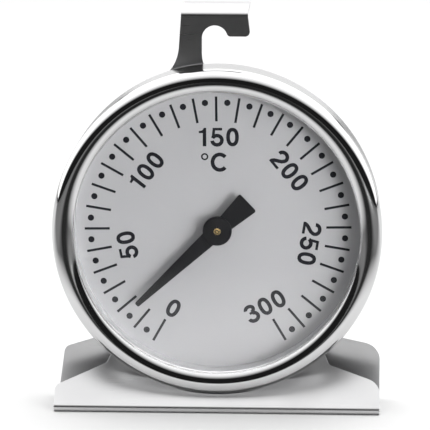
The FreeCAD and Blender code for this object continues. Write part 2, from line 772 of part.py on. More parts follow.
NODES = {
    "stand_bracket": make_stand_bracket,
    "case_cup": make_case_cup,
    "bezel_ring": make_bezel_ring,
    "case_rivets": make_case_rivets,
    "dial_seat_ring": make_dial_seat_ring,
    "dial_plate": make_dial_plate,
    "spacer_ring": make_spacer_ring,
    "lens_gasket": make_lens_gasket,
    "glass_lens": make_glass_lens,
    "rear_bushing": make_rear_bushing,
    "movement_bridge": make_movement_bridge,
    "bridge_rivets": make_bridge_rivets,
    "front_bushing": make_front_bushing,
    "anchor_stud": make_anchor_stud,
    "bimetal_coil": make_bimetal_coil,
    "coil_collet": make_coil_collet,
    "arbor": make_arbor,
    "rear_washer": make_rear_washer,
    "front_washer": make_front_washer,
    "retaining_clip": make_retaining_clip,
    "pointer_blade": make_pointer_blade,
    "pointer_hub": make_pointer_hub,
}


def main():
    """Build every piece and write it to its own file."""
    os.makedirs("parts", exist_ok=True)
    for name, make in NODES.items():
        shape = make()
        shape.exportStep("parts/" + name + ".step")
        box = shape.BoundBox
        print(name, "valid", shape.isValid(), "solids", len(shape.Solids),
              "volume %.2f" % shape.Volume,
              "x %.2f..%.2f y %.2f..%.2f z %.2f..%.2f" % (
                  box.XMin, box.XMax, box.YMin, box.YMax, box.ZMin, box.ZMax))


main()
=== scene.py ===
import logging
import math
from collections.abc import Callable, Sequence
from dataclasses import dataclass, field
from enum import Enum

import bmesh
import bpy
from mathutils import Matrix, Vector
from mathutils.geometry import delaunay_2d_cdt


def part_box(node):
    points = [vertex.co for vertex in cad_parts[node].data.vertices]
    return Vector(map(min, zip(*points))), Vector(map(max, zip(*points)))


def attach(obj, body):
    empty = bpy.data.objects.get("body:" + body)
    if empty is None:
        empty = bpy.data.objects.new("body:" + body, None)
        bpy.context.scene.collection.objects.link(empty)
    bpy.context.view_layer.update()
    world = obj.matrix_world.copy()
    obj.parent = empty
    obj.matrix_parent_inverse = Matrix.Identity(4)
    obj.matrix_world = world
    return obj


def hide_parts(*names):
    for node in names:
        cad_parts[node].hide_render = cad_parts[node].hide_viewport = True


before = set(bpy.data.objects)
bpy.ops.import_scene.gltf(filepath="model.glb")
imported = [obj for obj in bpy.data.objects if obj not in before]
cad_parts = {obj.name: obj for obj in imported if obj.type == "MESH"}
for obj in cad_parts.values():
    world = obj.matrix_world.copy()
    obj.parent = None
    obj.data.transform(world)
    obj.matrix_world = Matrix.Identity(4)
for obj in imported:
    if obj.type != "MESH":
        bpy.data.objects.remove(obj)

# Oven thermometer. Sizes in the classes are millimetres; meshes are written in metres.
# +Z is up and the dial faces -Y. Depths run forward from the case's rear face.

LOG = logging.getLogger("oven_thermometer")
MM = 0.001
TURN = 2.0 * math.pi
SPIN_STEPS = 288
SMOOTH_LIMIT = math.radians(28.0)

Point = tuple[float, float]
Outline = list[Point]


class Body(str, Enum):
    """The two bodies that pieces ride on."""

    CASE = "case"
    POINTER = "pointer"


# ---- Places --------------------------------------------------------------------------------
@dataclass(frozen=True)
class DialPlace:
    """Where the dial's axis and the case's rear face are, in metres."""

    height: float
    rear: float

    @classmethod
    def from_frame(cls) -> "DialPlace":
        """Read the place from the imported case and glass."""
        low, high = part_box("glass_lens")
        return cls((low.z + high.z) / 2.0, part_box("case_cup")[1].y)

    def point(self, x: float, rise: float, depth: float) -> Vector:
        """A point from its place about the dial's axis.

        Args:
            x: millimetres to the right of the axis.
            rise: millimetres above the axis.
            depth: millimetres in front of the case's rear face.

        Returns:
            The point in metres.
        """
        return Vector((x * MM, self.rear - depth * MM, self.height + rise * MM))

    def depth_of(self, y: float) -> float:
        """Depth in millimetres of a y coordinate in metres."""
        return (self.rear - y) / MM


def depth_span(place: DialPlace, node: str) -> tuple[float, float]:
    """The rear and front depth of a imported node, in millimetres."""
    low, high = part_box(node)
    return place.depth_of(high.y), place.depth_of(low.y)


def radius_of(node: str) -> float:
    """Half the width of a packed round node, in millimetres."""
    low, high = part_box(node)
    return (high.x - low.x) / 2.0 / MM


# ---- Outlines ------------------------------------------------------------------------------
def arc(centre: Point, radii: Point, start: float, end: float, count: int) -> Outline:
    """Points along an ellipse's arc.

    Args:
        centre: the ellipse's centre.
        radii: half its width and half its height.
        start: first angle in degrees, counter-clockwise from the right.
        end: last angle in degrees.
        count: number of steps.

    Returns:
        The points, both ends included.
    """
    points = []
    for index in range(count + 1):
        angle = math.radians(start + (end - start) * index / count)
        points.append((
            centre[0] + radii[0] * math.cos(angle),
            centre[1] + radii[1] * math.sin(angle)))
    return points


def circle(centre: Point, radius: float, count: int) -> Outline:
    """A closed circle, without its repeated last point."""
    return arc(centre, (radius, radius), 0.0, 360.0, count)[:-1]


def rounded(corners: Sequence[tuple[float, float, float]], step: float = 7.5) -> Outline:
    """A closed outline with each corner rounded by its own radius.

    Args:
        corners: x, y and radius of each corner.
        step: degrees of arc for each edge of a rounding.

    Returns:
        The outline's points.
    """
    points: Outline = []
    for index, (x, y, radius) in enumerate(corners):
        corner = Vector((x, y))
        if radius <= 0.0:
            points.append((x, y))
            continue
        last = corners[index - 1]
        following = corners[(index + 1) % len(corners)]
        back = (Vector(last[:2]) - corner).normalized()
        ahead = (Vector(following[:2]) - corner).normalized()
        half = back.angle(ahead) / 2.0
        centre = corner + (back + ahead).normalized() * (radius / math.sin(half))
        first = corner + back * (radius / math.tan(half)) - centre
        final = corner + ahead * (radius / math.tan(half)) - centre
        start = math.degrees(math.atan2(first.y, first.x))
        sweep = math.degrees(math.atan2(first.cross(final), first.dot(final)))
        count = max(2, round(abs(sweep) / step))
        points += arc((centre.x, centre.y), (radius, radius), start, start + sweep, count)
    return points


def area_of(outline: Outline) -> float:
    """The signed area of a closed outline."""
    total = 0.0
    for index, (x, y) in enumerate(outline):
        last_x, last_y = outline[index - 1]
        total += last_x * y - x * last_y
    return total / 2.0


def outward_directions(outline: Outline) -> list[Vector]:
    """The mitre direction of each point of a closed outline, scaled to move its edges by one."""
    sign = 1.0 if area_of(outline) > 0.0 else -1.0
    directions = []
    for index, point in enumerate(outline):
        here = Vector(point)
        back = (here - Vector(outline[index - 1])).normalized()
        ahead = (Vector(outline[(index + 1) % len(outline)]) - here).normalized()
        first = Vector((back.y, -back.x)) * sign
        second = Vector((ahead.y, -ahead.x)) * sign
        mitre = (first + second).normalized()
        directions.append(mitre / max(0.5, mitre.dot(first)))
    return directions


def fill(
    shapes: Sequence[Outline], holes: Sequence[Outline] = (), cuts: Sequence[tuple[int, int]] = ()
) -> tuple[list[Point], list[tuple[int, int, int]], dict[int, int]]:
    """Triangles that cover the union of some outlines.

    Args:
        shapes: outlines to cover; they may overlap.
        holes: outlines to leave open.
        cuts: pairs of point numbers, counted through the shapes, to join by an edge.

    Returns:
        The points, the triangles, and the new number of each point that was given.
    """
    points: list[Vector] = []
    faces: list[list[int]] = []
    for outline in [*shapes, *holes]:
        numbers = list(range(len(points), len(points) + len(outline)))
        faces.append(numbers if area_of(outline) > 0.0 else numbers[::-1])
        points += [Vector(point) for point in outline]
    made = delaunay_2d_cdt(points, list(cuts), faces, 0, 1e-6, True)
    kept = []
    for triangle, sources in zip(made[2], made[5]):
        if sources and max(sources) < len(shapes):
            kept.append(tuple(triangle))
    used = sorted({corner for triangle in kept for corner in triangle})
    number = {old: new for new, old in enumerate(used)}
    renamed = {}
    for old, sources in enumerate(made[3]):
        if old in number:
            renamed.update({source: number[old] for source in sources})
    return (
        [(made[0][old].x, made[0][old].y) for old in used],
        [tuple(number[corner] for corner in triangle) for triangle in kept],
        renamed,
    )


def stroke(path: Outline, width: float, closed: bool = False) -> list[Outline]:
    """Four-sided outlines that cover a pen stroke along a path.

    Args:
        path: the middle of the stroke.
        width: the pen's width.
        closed: whether the path joins up.

    Returns:
        One outline for each edge of the path.
    """
    count = len(path)
    sides = []
    for index, point in enumerate(path):
        before = path[index - 1] if closed or index > 0 else point
        after = path[(index + 1) % count] if closed or index < count - 1 else point
        along = (Vector(after) - Vector(before)).normalized()
        across = Vector((-along.y, along.x)) * (width / 2.0)
        sides.append((Vector(point) + across, Vector(point) - across))
    last = count if closed else count - 1
    quads = []
    for index in range(last):
        a, b = sides[index]
        c, d = sides[(index + 1) % count]
        quads.append([tuple(a), tuple(b), tuple(d), tuple(c)])
    return quads


# ---- Meshes --------------------------------------------------------------------------------
def new_object(name: str, mesh: bpy.types.Mesh, material: bpy.types.Material) -> bpy.types.Object:
    """Put a mesh in the scene with one material."""
    obj = bpy.data.objects.new(name, mesh)
    mesh.materials.clear()
    mesh.materials.append(material)
    bpy.context.scene.collection.objects.link(obj)
    return obj


def settled(obj: bpy.types.Object) -> bpy.types.Object:
    """Turn an object's modifiers into its plain mesh."""
    bpy.context.view_layer.update()
    graph = bpy.context.evaluated_depsgraph_get()
    mesh = bpy.data.meshes.new_from_object(obj.evaluated_get(graph), depsgraph=graph)
    old = obj.data
    obj.modifiers.clear()
    obj.data = mesh
    mesh.name = obj.name
    bpy.data.meshes.remove(old)
    return obj


def shaded(name: str, made: bmesh.types.BMesh, material: bpy.types.Material) -> bpy.types.Object:
    """Turn a built shape into an object with smooth curves and crisp corners.

    Args:
        name: the object's name.
        made: the shape; it is freed.
        material: its finish.

    Returns:
        The object, with normals weighted by face area.
    """
    bmesh.ops.recalc_face_normals(made, faces=made.faces)
    for face in made.faces:
        face.smooth = True
    for edge in made.edges:
        edge.smooth = edge.calc_face_angle(0.0) < SMOOTH_LIMIT
    mesh = bpy.data.meshes.new(name)
    made.to_mesh(mesh)
    made.free()
    obj = new_object(name, mesh, material)
    weighted = obj.modifiers.new("weighted", "WEIGHTED_NORMAL")
    weighted.keep_sharp = True
    weighted.mode = "FACE_AREA"
    return settled(obj)


def spun(
    name: str, section: Outline, place: DialPlace, material: bpy.types.Material,
    steps: int = SPIN_STEPS
) -> bpy.types.Object:
    """Spin a closed section about the dial's axis.

    Args:
        name: the object's name.
        section: radius and depth of each point; points on the axis become poles.
        place: where the axis is.
        material: its finish.
        steps: steps in the full turn.

    Returns:
        The finished object.
    """
    made = bmesh.new()
    rows = []
    for radius, depth in section:
        if radius < 1e-6:
            rows.append([made.verts.new(place.point(0.0, 0.0, depth))] * steps)
            continue
        row = []
        for step in range(steps):
            angle = TURN * step / steps
            spot = place.point(radius * math.sin(angle), radius * math.cos(angle), depth)
            row.append(made.verts.new(spot))
        rows.append(row)
    for index, row in enumerate(rows):
        following = rows[(index + 1) % len(rows)]
        if row[0] is row[1] and following[0] is following[1]:
            continue
        for step in range(steps):
            ahead = (step + 1) % steps
            corners = [row[step], row[ahead], following[ahead], following[step]]
            made.faces.new(list(dict.fromkeys(corners)))
    return shaded(name, made, material)


def slab(
    made: bmesh.types.BMesh,
    shapes: Sequence[Outline],
    holes: Sequence[Outline],
    lift: Callable[[float, float, float], Vector],
    rear: float,
    front: float,
) -> None:
    """Add a flat plate with the union of some outlines.

    Args:
        made: the shape that receives it.
        shapes: outlines to cover; they may overlap.
        holes: outlines to leave open.
        lift: turns x, rise and depth into a point.
        rear: depth of its rear face.
        front: depth of its front face.
    """
    points, triangles, _ = fill(shapes, holes)
    layers = []
    for depth in (rear, front):
        layers.append([made.verts.new(lift(x, rise, depth)) for x, rise in points])
    borders: dict[tuple[int, int], int] = {}
    for triangle in triangles:
        for layer in layers:
            made.faces.new([layer[corner] for corner in triangle])
        for index, corner in enumerate(triangle):
            edge = tuple(sorted((triangle[index - 1], corner)))
            borders[edge] = borders.get(edge, 0) + 1
    for (first, second), uses in borders.items():
        if uses == 1:
            made.faces.new([
                layers[0][first], layers[0][second], layers[1][second], layers[1][first]])


# ---- Node helpers --------------------------------------------------------------------------
Socket = bpy.types.NodeSocket


class Wiring:
    """A thin helper that adds nodes and links to one node tree."""

    def __init__(self, tree: bpy.types.NodeTree) -> None:
        """Keep the tree and empty it."""
        self.tree = tree
        tree.nodes.clear()

    def node(self, kind: str, inputs: dict | None = None, **settings: object) -> bpy.types.Node:
        """Add a node.

        Args:
            kind: the node's type name.
            inputs: values or sockets for its inputs, by name or number.
            settings: its properties.

        Returns:
            The new node.
        """
        made = self.tree.nodes.new(kind)
        for key, value in settings.items():
            setattr(made, key, value)
        for key, value in (inputs or {}).items():
            self.feed(made.inputs[key], value)
        return made

    def feed(self, target: Socket, value: object) -> None:
        """Link a socket or set a plain value on an input."""
        if isinstance(value, bpy.types.NodeSocket):
            self.tree.links.new(value, target)
        else:
            target.default_value = value

    def maths(self, operation: str, first: object, second: object = 0.0) -> Socket:
        """Add a maths node and return its result."""
        return self.node("ShaderNodeMath", {0: first, 1: second}, operation=operation).outputs[0]

    def spread(
        self, value: Socket, low: float, high: float, to_low: object, to_high: object
    ) -> Socket:
        """Map a value from one span to another, clamped.

        Args:
            value: the value to map.
            low: start of its span.
            high: end of its span.
            to_low: result at the start.
            to_high: result at the end.

        Returns:
            The mapped value.
        """
        inputs = {
            "Value": value, "From Min": low, "From Max": high,
            "To Min": to_low, "To Max": to_high}
        return self.node("ShaderNodeMapRange", inputs).outputs["Result"]


def open_group(name: str, inputs: dict[str, tuple[str, object]], outputs: dict[str, str]) -> tuple[
    bpy.types.NodeTree, Wiring, bpy.types.Node, bpy.types.Node
]:
    """Start a shader node group.

    Args:
        name: the group's name.
        inputs: socket type and default for each input's name.
        outputs: socket type for each output's name.

    Returns:
        The group, its wiring, its input node and its output node.
    """
    group = bpy.data.node_groups.new(name, "ShaderNodeTree")
    for label, (kind, default) in inputs.items():
        socket = group.interface.new_socket(label, in_out="INPUT", socket_type=kind)
        socket.default_value = default
    for label, kind in outputs.items():
        group.interface.new_socket(label, in_out="OUTPUT", socket_type=kind)
    wiring = Wiring(group)
    return group, wiring, wiring.node("NodeGroupInput"), wiring.node("NodeGroupOutput")


FLOAT = "NodeSocketFloat"
VECTOR = "NodeSocketVector"


class Effects:
    """The shader node groups that several finishes share."""

    def __init__(self, place: DialPlace) -> None:
        """Build each group once."""
        self.place = place
        self.lathe = self.make_lathe()
        self.grain = self.make_grain()
        self.wear = self.make_wear()
        self.speckle = self.make_speckle()

    def make_lathe(self) -> bpy.types.NodeTree:
        """Coordinates that run with the radius and depth, for marks turned about the axis."""
        group, wiring, source, result = open_group(
            "turned_coordinates", {"Coordinates": (VECTOR, (0.0, 0.0, 0.0))}, {"Turned": VECTOR})
        split = wiring.node("ShaderNodeSeparateXYZ", {0: source.outputs["Coordinates"]})
        rise = wiring.maths("SUBTRACT", split.outputs["Z"], self.place.height)
        across = wiring.maths("MULTIPLY", split.outputs["X"], split.outputs["X"])
        upright = wiring.maths("MULTIPLY", rise, rise)
        radius = wiring.maths("SQRT", wiring.maths("ADD", across, upright))
        angle = wiring.maths("ARCTAN2", rise, split.outputs["X"])
        slow = wiring.maths("MULTIPLY", angle, 0.0006)
        joined = wiring.node("ShaderNodeCombineXYZ", {
            "X": slow, "Y": split.outputs["Y"], "Z": radius})
        wiring.feed(result.inputs["Turned"], joined.outputs[0])
        return group

    def make_grain(self) -> bpy.types.NodeTree:
        """Fine drawn lines from rolling, brushing or turning."""
        group, wiring, source, result = open_group(
            "drawn_grain",
            {"Coordinates": (VECTOR, (0.0, 0.0, 0.0)), "Stretch": (VECTOR, (1.0, 1.0, 1.0)),
             "Smooth": (FLOAT, 0.1), "Rough": (FLOAT, 0.2)},
            {"Roughness": FLOAT, "Height": FLOAT})
        mapped = wiring.node("ShaderNodeMapping", {
            "Vector": source.outputs["Coordinates"], "Scale": source.outputs["Stretch"]})
        noise = wiring.node("ShaderNodeTexNoise", {
            "Vector": mapped.outputs[0], "Scale": 1.0, "Detail": 5.0, "Roughness": 0.6})
        rough = wiring.spread(
            noise.outputs[0], 0.3, 0.7, source.outputs["Smooth"], source.outputs["Rough"])
        wiring.feed(result.inputs["Roughness"], rough)
        wiring.feed(result.inputs["Height"], noise.outputs[0])
        return group

    def make_wear(self) -> bpy.types.NodeTree:
        """Handling marks: broad smudges and short hairline scratches, as a mask."""
        group, wiring, source, result = open_group(
            "handling_marks",
            {"Coordinates": (VECTOR, (0.0, 0.0, 0.0)), "Smudge Size": (FLOAT, 90.0),
             "Scratches": (FLOAT, 0.4)},
            {"Mask": FLOAT})
        broad = wiring.node("ShaderNodeTexNoise", {
            "Vector": source.outputs["Coordinates"], "Scale": source.outputs["Smudge Size"],
            "Detail": 3.0, "Roughness": 0.55})
        smudge = wiring.spread(broad.outputs[0], 0.48, 0.72, 0.0, 1.0)
        turned = wiring.node("ShaderNodeMapping", {
            "Vector": source.outputs["Coordinates"], "Rotation": (0.5, 0.9, 0.3),
            "Scale": (3200.0, 140.0, 240.0)})
        hair = wiring.node("ShaderNodeTexNoise", {
            "Vector": turned.outputs[0], "Scale": 1.0, "Detail": 2.0, "Roughness": 0.5})
        line = wiring.spread(hair.outputs[0], 0.66, 0.72, 0.0, 1.0)
        scratch = wiring.maths("MULTIPLY", line, source.outputs["Scratches"])
        wiring.feed(result.inputs["Mask"], wiring.maths("MAXIMUM", smudge, scratch))
        return group

    def make_speckle(self) -> bpy.types.NodeTree:
        """The fine even tooth of satin metal, print and paint."""
        group, wiring, source, result = open_group(
            "fine_tooth",
            {"Coordinates": (VECTOR, (0.0, 0.0, 0.0)), "Size": (FLOAT, 6000.0),
             "Smooth": (FLOAT, 0.4), "Rough": (FLOAT, 0.5)},
            {"Roughness": FLOAT, "Height": FLOAT})
        noise = wiring.node("ShaderNodeTexNoise", {
            "Vector": source.outputs["Coordinates"], "Scale": source.outputs["Size"],
            "Detail": 3.0, "Roughness": 0.65})
        rough = wiring.spread(
            noise.outputs[0], 0.3, 0.7, source.outputs["Smooth"], source.outputs["Rough"])
        wiring.feed(result.inputs["Roughness"], rough)
        wiring.feed(result.inputs["Height"], noise.outputs[0])
        return group


# ---- Finishes ------------------------------------------------------------------------------
class Lay(Enum):
    """The direction of a metal's fine lines."""

    ALONG = "along the sheet"
    TURNED = "around the axis"


@dataclass(frozen=True)
class MetalFinish:
    """A bare metal with fine drawn lines and a few handling marks."""

    name: str
    colour: tuple[float, float, float]
    smooth: float
    rough: float
    lay: Lay
    grain_height: float = 0.008
    worn: float = 0.03
    dulled: tuple[float, float, float] = (0.5, 0.5, 0.5)
    stretch: tuple[float, float, float] = (60.0, 5200.0, 5200.0)

    def make(self, effects: Effects) -> bpy.types.Material:
        """Build the material.

        Args:
            effects: the shared node groups.

        Returns:
            The finished material.
        """
        material, wiring, shader = open_material(self.name)
        coordinates = wiring.node("ShaderNodeTexCoord").outputs["Object"]
        source = coordinates
        if self.lay is Lay.TURNED:
            turned = wiring.node("ShaderNodeGroup", node_tree=effects.lathe)
            wiring.feed(turned.inputs["Coordinates"], coordinates)
            source = turned.outputs["Turned"]
        grain = wiring.node("ShaderNodeGroup", node_tree=effects.grain)
        wiring.feed(grain.inputs["Coordinates"], source)
        wiring.feed(grain.inputs["Stretch"], self.stretch)
        wiring.feed(grain.inputs["Smooth"], self.smooth)
        wiring.feed(grain.inputs["Rough"], self.rough)
        wear = wiring.node("ShaderNodeGroup", node_tree=effects.wear)
        wiring.feed(wear.inputs["Coordinates"], coordinates)
        added = wiring.maths("MULTIPLY", wear.outputs["Mask"], self.worn)
        wiring.feed(
            shader.inputs["Roughness"], wiring.maths("ADD", grain.outputs["Roughness"], added))
        share = wiring.maths("MULTIPLY", wear.outputs["Mask"], 0.10)
        tint = wiring.node("ShaderNodeMix", data_type="RGBA")
        wiring.feed(tint.inputs["Factor"], share)
        wiring.feed(tint.inputs["A"], (*self.colour, 1.0))
        wiring.feed(tint.inputs["B"], (*self.dulled, 1.0))
        wiring.feed(shader.inputs["Base Color"], tint.outputs["Result"])
        bump = wiring.node("ShaderNodeBump", {
            "Strength": self.grain_height, "Distance": 0.00002, "Height": grain.outputs["Height"]})
        wiring.feed(shader.inputs["Normal"], bump.outputs[0])
        shader.inputs["Metallic"].default_value = 1.0
        return material


@dataclass(frozen=True)
class CoatedFinish:
    """A painted, printed or rubber surface with a fine tooth."""

    name: str
    colour: tuple[float, float, float]
    smooth: float
    rough: float
    metallic: float = 0.0
    specular: float = 0.5
    tooth: float = 6000.0
    tooth_height: float = 0.1

    def make(self, effects: Effects) -> bpy.types.Material:
        """Build the material.

        Args:
            effects: the shared node groups.

        Returns:
            The finished material.
        """
        material, wiring, shader = open_material(self.name)
        coordinates = wiring.node("ShaderNodeTexCoord").outputs["Object"]
        tooth = wiring.node("ShaderNodeGroup", node_tree=effects.speckle)
        wiring.feed(tooth.inputs["Coordinates"], coordinates)
        wiring.feed(tooth.inputs["Size"], self.tooth)
        wiring.feed(tooth.inputs["Smooth"], self.smooth)
        wiring.feed(tooth.inputs["Rough"], self.rough)
        wiring.feed(shader.inputs["Roughness"], tooth.outputs["Roughness"])
        bump = wiring.node("ShaderNodeBump", {
            "Strength": self.tooth_height, "Distance": 0.00002, "Height": tooth.outputs["Height"]})
        wiring.feed(shader.inputs["Normal"], bump.outputs[0])
        shader.inputs["Base Color"].default_value = (*self.colour, 1.0)
        shader.inputs["Metallic"].default_value = self.metallic
        shader.inputs["Specular IOR Level"].default_value = self.specular
        return material


@dataclass(frozen=True)
class GlassFinish:
    """Clear glass that lets the lamps through."""

    name: str
    refraction: float = 1.5

    def make(self, effects: Effects) -> bpy.types.Material:
        """Build the material.

        Args:
            effects: the shared node groups.

        Returns:
            The finished material.
        """
        material, wiring, shader = open_material(self.name)
        coordinates = wiring.node("ShaderNodeTexCoord").outputs["Object"]
        wear = wiring.node("ShaderNodeGroup", node_tree=effects.wear)
        wiring.feed(wear.inputs["Coordinates"], coordinates)
        wiring.feed(
            shader.inputs["Roughness"], wiring.maths("MULTIPLY", wear.outputs["Mask"], 0.012))
        shader.inputs["Base Color"].default_value = (1.0, 1.0, 1.0, 1.0)
        shader.inputs["Transmission Weight"].default_value = 1.0
        shader.inputs["IOR"].default_value = self.refraction
        clear = wiring.node("ShaderNodeBsdfTransparent")
        path = wiring.node("ShaderNodeLightPath")
        mixed = wiring.node("ShaderNodeMixShader", {
            0: path.outputs["Is Shadow Ray"], 1: shader.outputs[0], 2: clear.outputs[0]})
        output = wiring.tree.nodes["Material Output"]
        wiring.feed(output.inputs["Surface"], mixed.outputs[0])
        return material


def open_material(name: str) -> tuple[bpy.types.Material, Wiring, bpy.types.Node]:
    """Start a material with a Principled shader joined to its output."""
    material = bpy.data.materials.new(name)
    material.use_nodes = True
    wiring = Wiring(material.node_tree)
    shader = wiring.node("ShaderNodeBsdfPrincipled")
    output = wiring.node("ShaderNodeOutputMaterial")
    output.name = "Material Output"
    wiring.feed(output.inputs["Surface"], shader.outputs[0])
    return material, wiring, shader


TURNED_STRETCH = (1.0, 4200.0, 4200.0)

FINISHES = (
    MetalFinish("stand_steel", (0.76, 0.76, 0.765), 0.27, 0.31, Lay.ALONG),
    MetalFinish("case_steel", (0.33, 0.33, 0.333), 0.16, 0.24, Lay.TURNED, stretch=TURNED_STRETCH),
    MetalFinish("bezel_steel", (0.80, 0.80, 0.805), 0.05, 0.09, Lay.TURNED, stretch=TURNED_STRETCH),
    MetalFinish("rivet_steel", (0.66, 0.66, 0.67), 0.18, 0.28, Lay.ALONG),
    MetalFinish("ring_aluminium", (0.86, 0.86, 0.87), 0.26, 0.34, Lay.TURNED,
                stretch=TURNED_STRETCH),
    MetalFinish("movement_brass", (0.72, 0.55, 0.26), 0.20, 0.32, Lay.TURNED,
                dulled=(0.40, 0.28, 0.12), stretch=TURNED_STRETCH),
    MetalFinish("coil_bimetal", (0.55, 0.50, 0.43), 0.22, 0.34, Lay.TURNED,
                dulled=(0.36, 0.30, 0.24), stretch=TURNED_STRETCH),
    CoatedFinish("dial_face", (0.355, 0.355, 0.362), 0.40, 0.48, metallic=0.2,
                 tooth=9000.0, tooth_height=0.04),
    CoatedFinish("pointer_black", (0.006, 0.006, 0.007), 0.45, 0.60, specular=0.2),
    CoatedFinish("dial_ink", (0.007, 0.007, 0.010), 0.50, 0.62, specular=0.15),
    CoatedFinish("gasket_rubber", (0.55, 0.55, 0.54), 0.70, 0.85, specular=0.3),
    GlassFinish("lens_glass"),
)


# ---- Stand ---------------------------------------------------------------------------------
@dataclass(frozen=True)
class SheetRun:
    """One stretch of the folded sheet: straight when turn is zero, else a bend."""

    length: float
    turn: float = 0.0


class FoldedPath:
    """The rear and lower face of the sheet, as a path in the y-z plane."""

    def __init__(self, start: Point, heading: float, runs: Sequence[SheetRun]) -> None:
        """Lay the runs end to end.

        Args:
            start: y and z of the path's start.
            heading: its first direction in degrees from +y towards +z.
            runs: the stretches in order.
        """
        self.legs: list[tuple[float, float, Point, float, float]] = []
        reach = 0.0
        y, z = start
        angle = math.radians(heading)
        for run in runs:
            turn = math.radians(run.turn)
            self.legs.append((reach, run.length, (y, z), angle, turn))
            (y, z), angle = self.walk((y, z), angle, run.length, turn, run.length)
            reach += run.length
        self.length = reach

    @staticmethod
    def walk(
        start: Point, angle: float, length: float, turn: float, far: float
    ) -> tuple[Point, float]:
        """The place and direction after going some way along one run."""
        y, z = start
        if turn == 0.0:
            return (y + far * math.cos(angle), z + far * math.sin(angle)), angle
        radius = length / turn
        ahead = angle + turn * far / length
        return (
            y + radius * (math.sin(ahead) - math.sin(angle)),
            z - radius * (math.cos(ahead) - math.cos(angle)),
        ), ahead

    def place(self, reach: float, lift: float) -> tuple[Point, Point]:
        """A point of the sheet and the direction through its thickness.

        Args:
            reach: distance along the path.
            lift: distance through the sheet from the path's side.

        Returns:
            The point's y and z, and the direction's y and z.
        """
        leg = self.legs[0]
        for candidate in self.legs:
            if candidate[0] <= reach + 1e-9:
                leg = candidate
        begin, length, start, angle, turn = leg
        (y, z), heading = self.walk(start, angle, length, turn, reach - begin)
        across = (-math.sin(heading), math.cos(heading))
        return (y + across[0] * lift, z + across[1] * lift), across


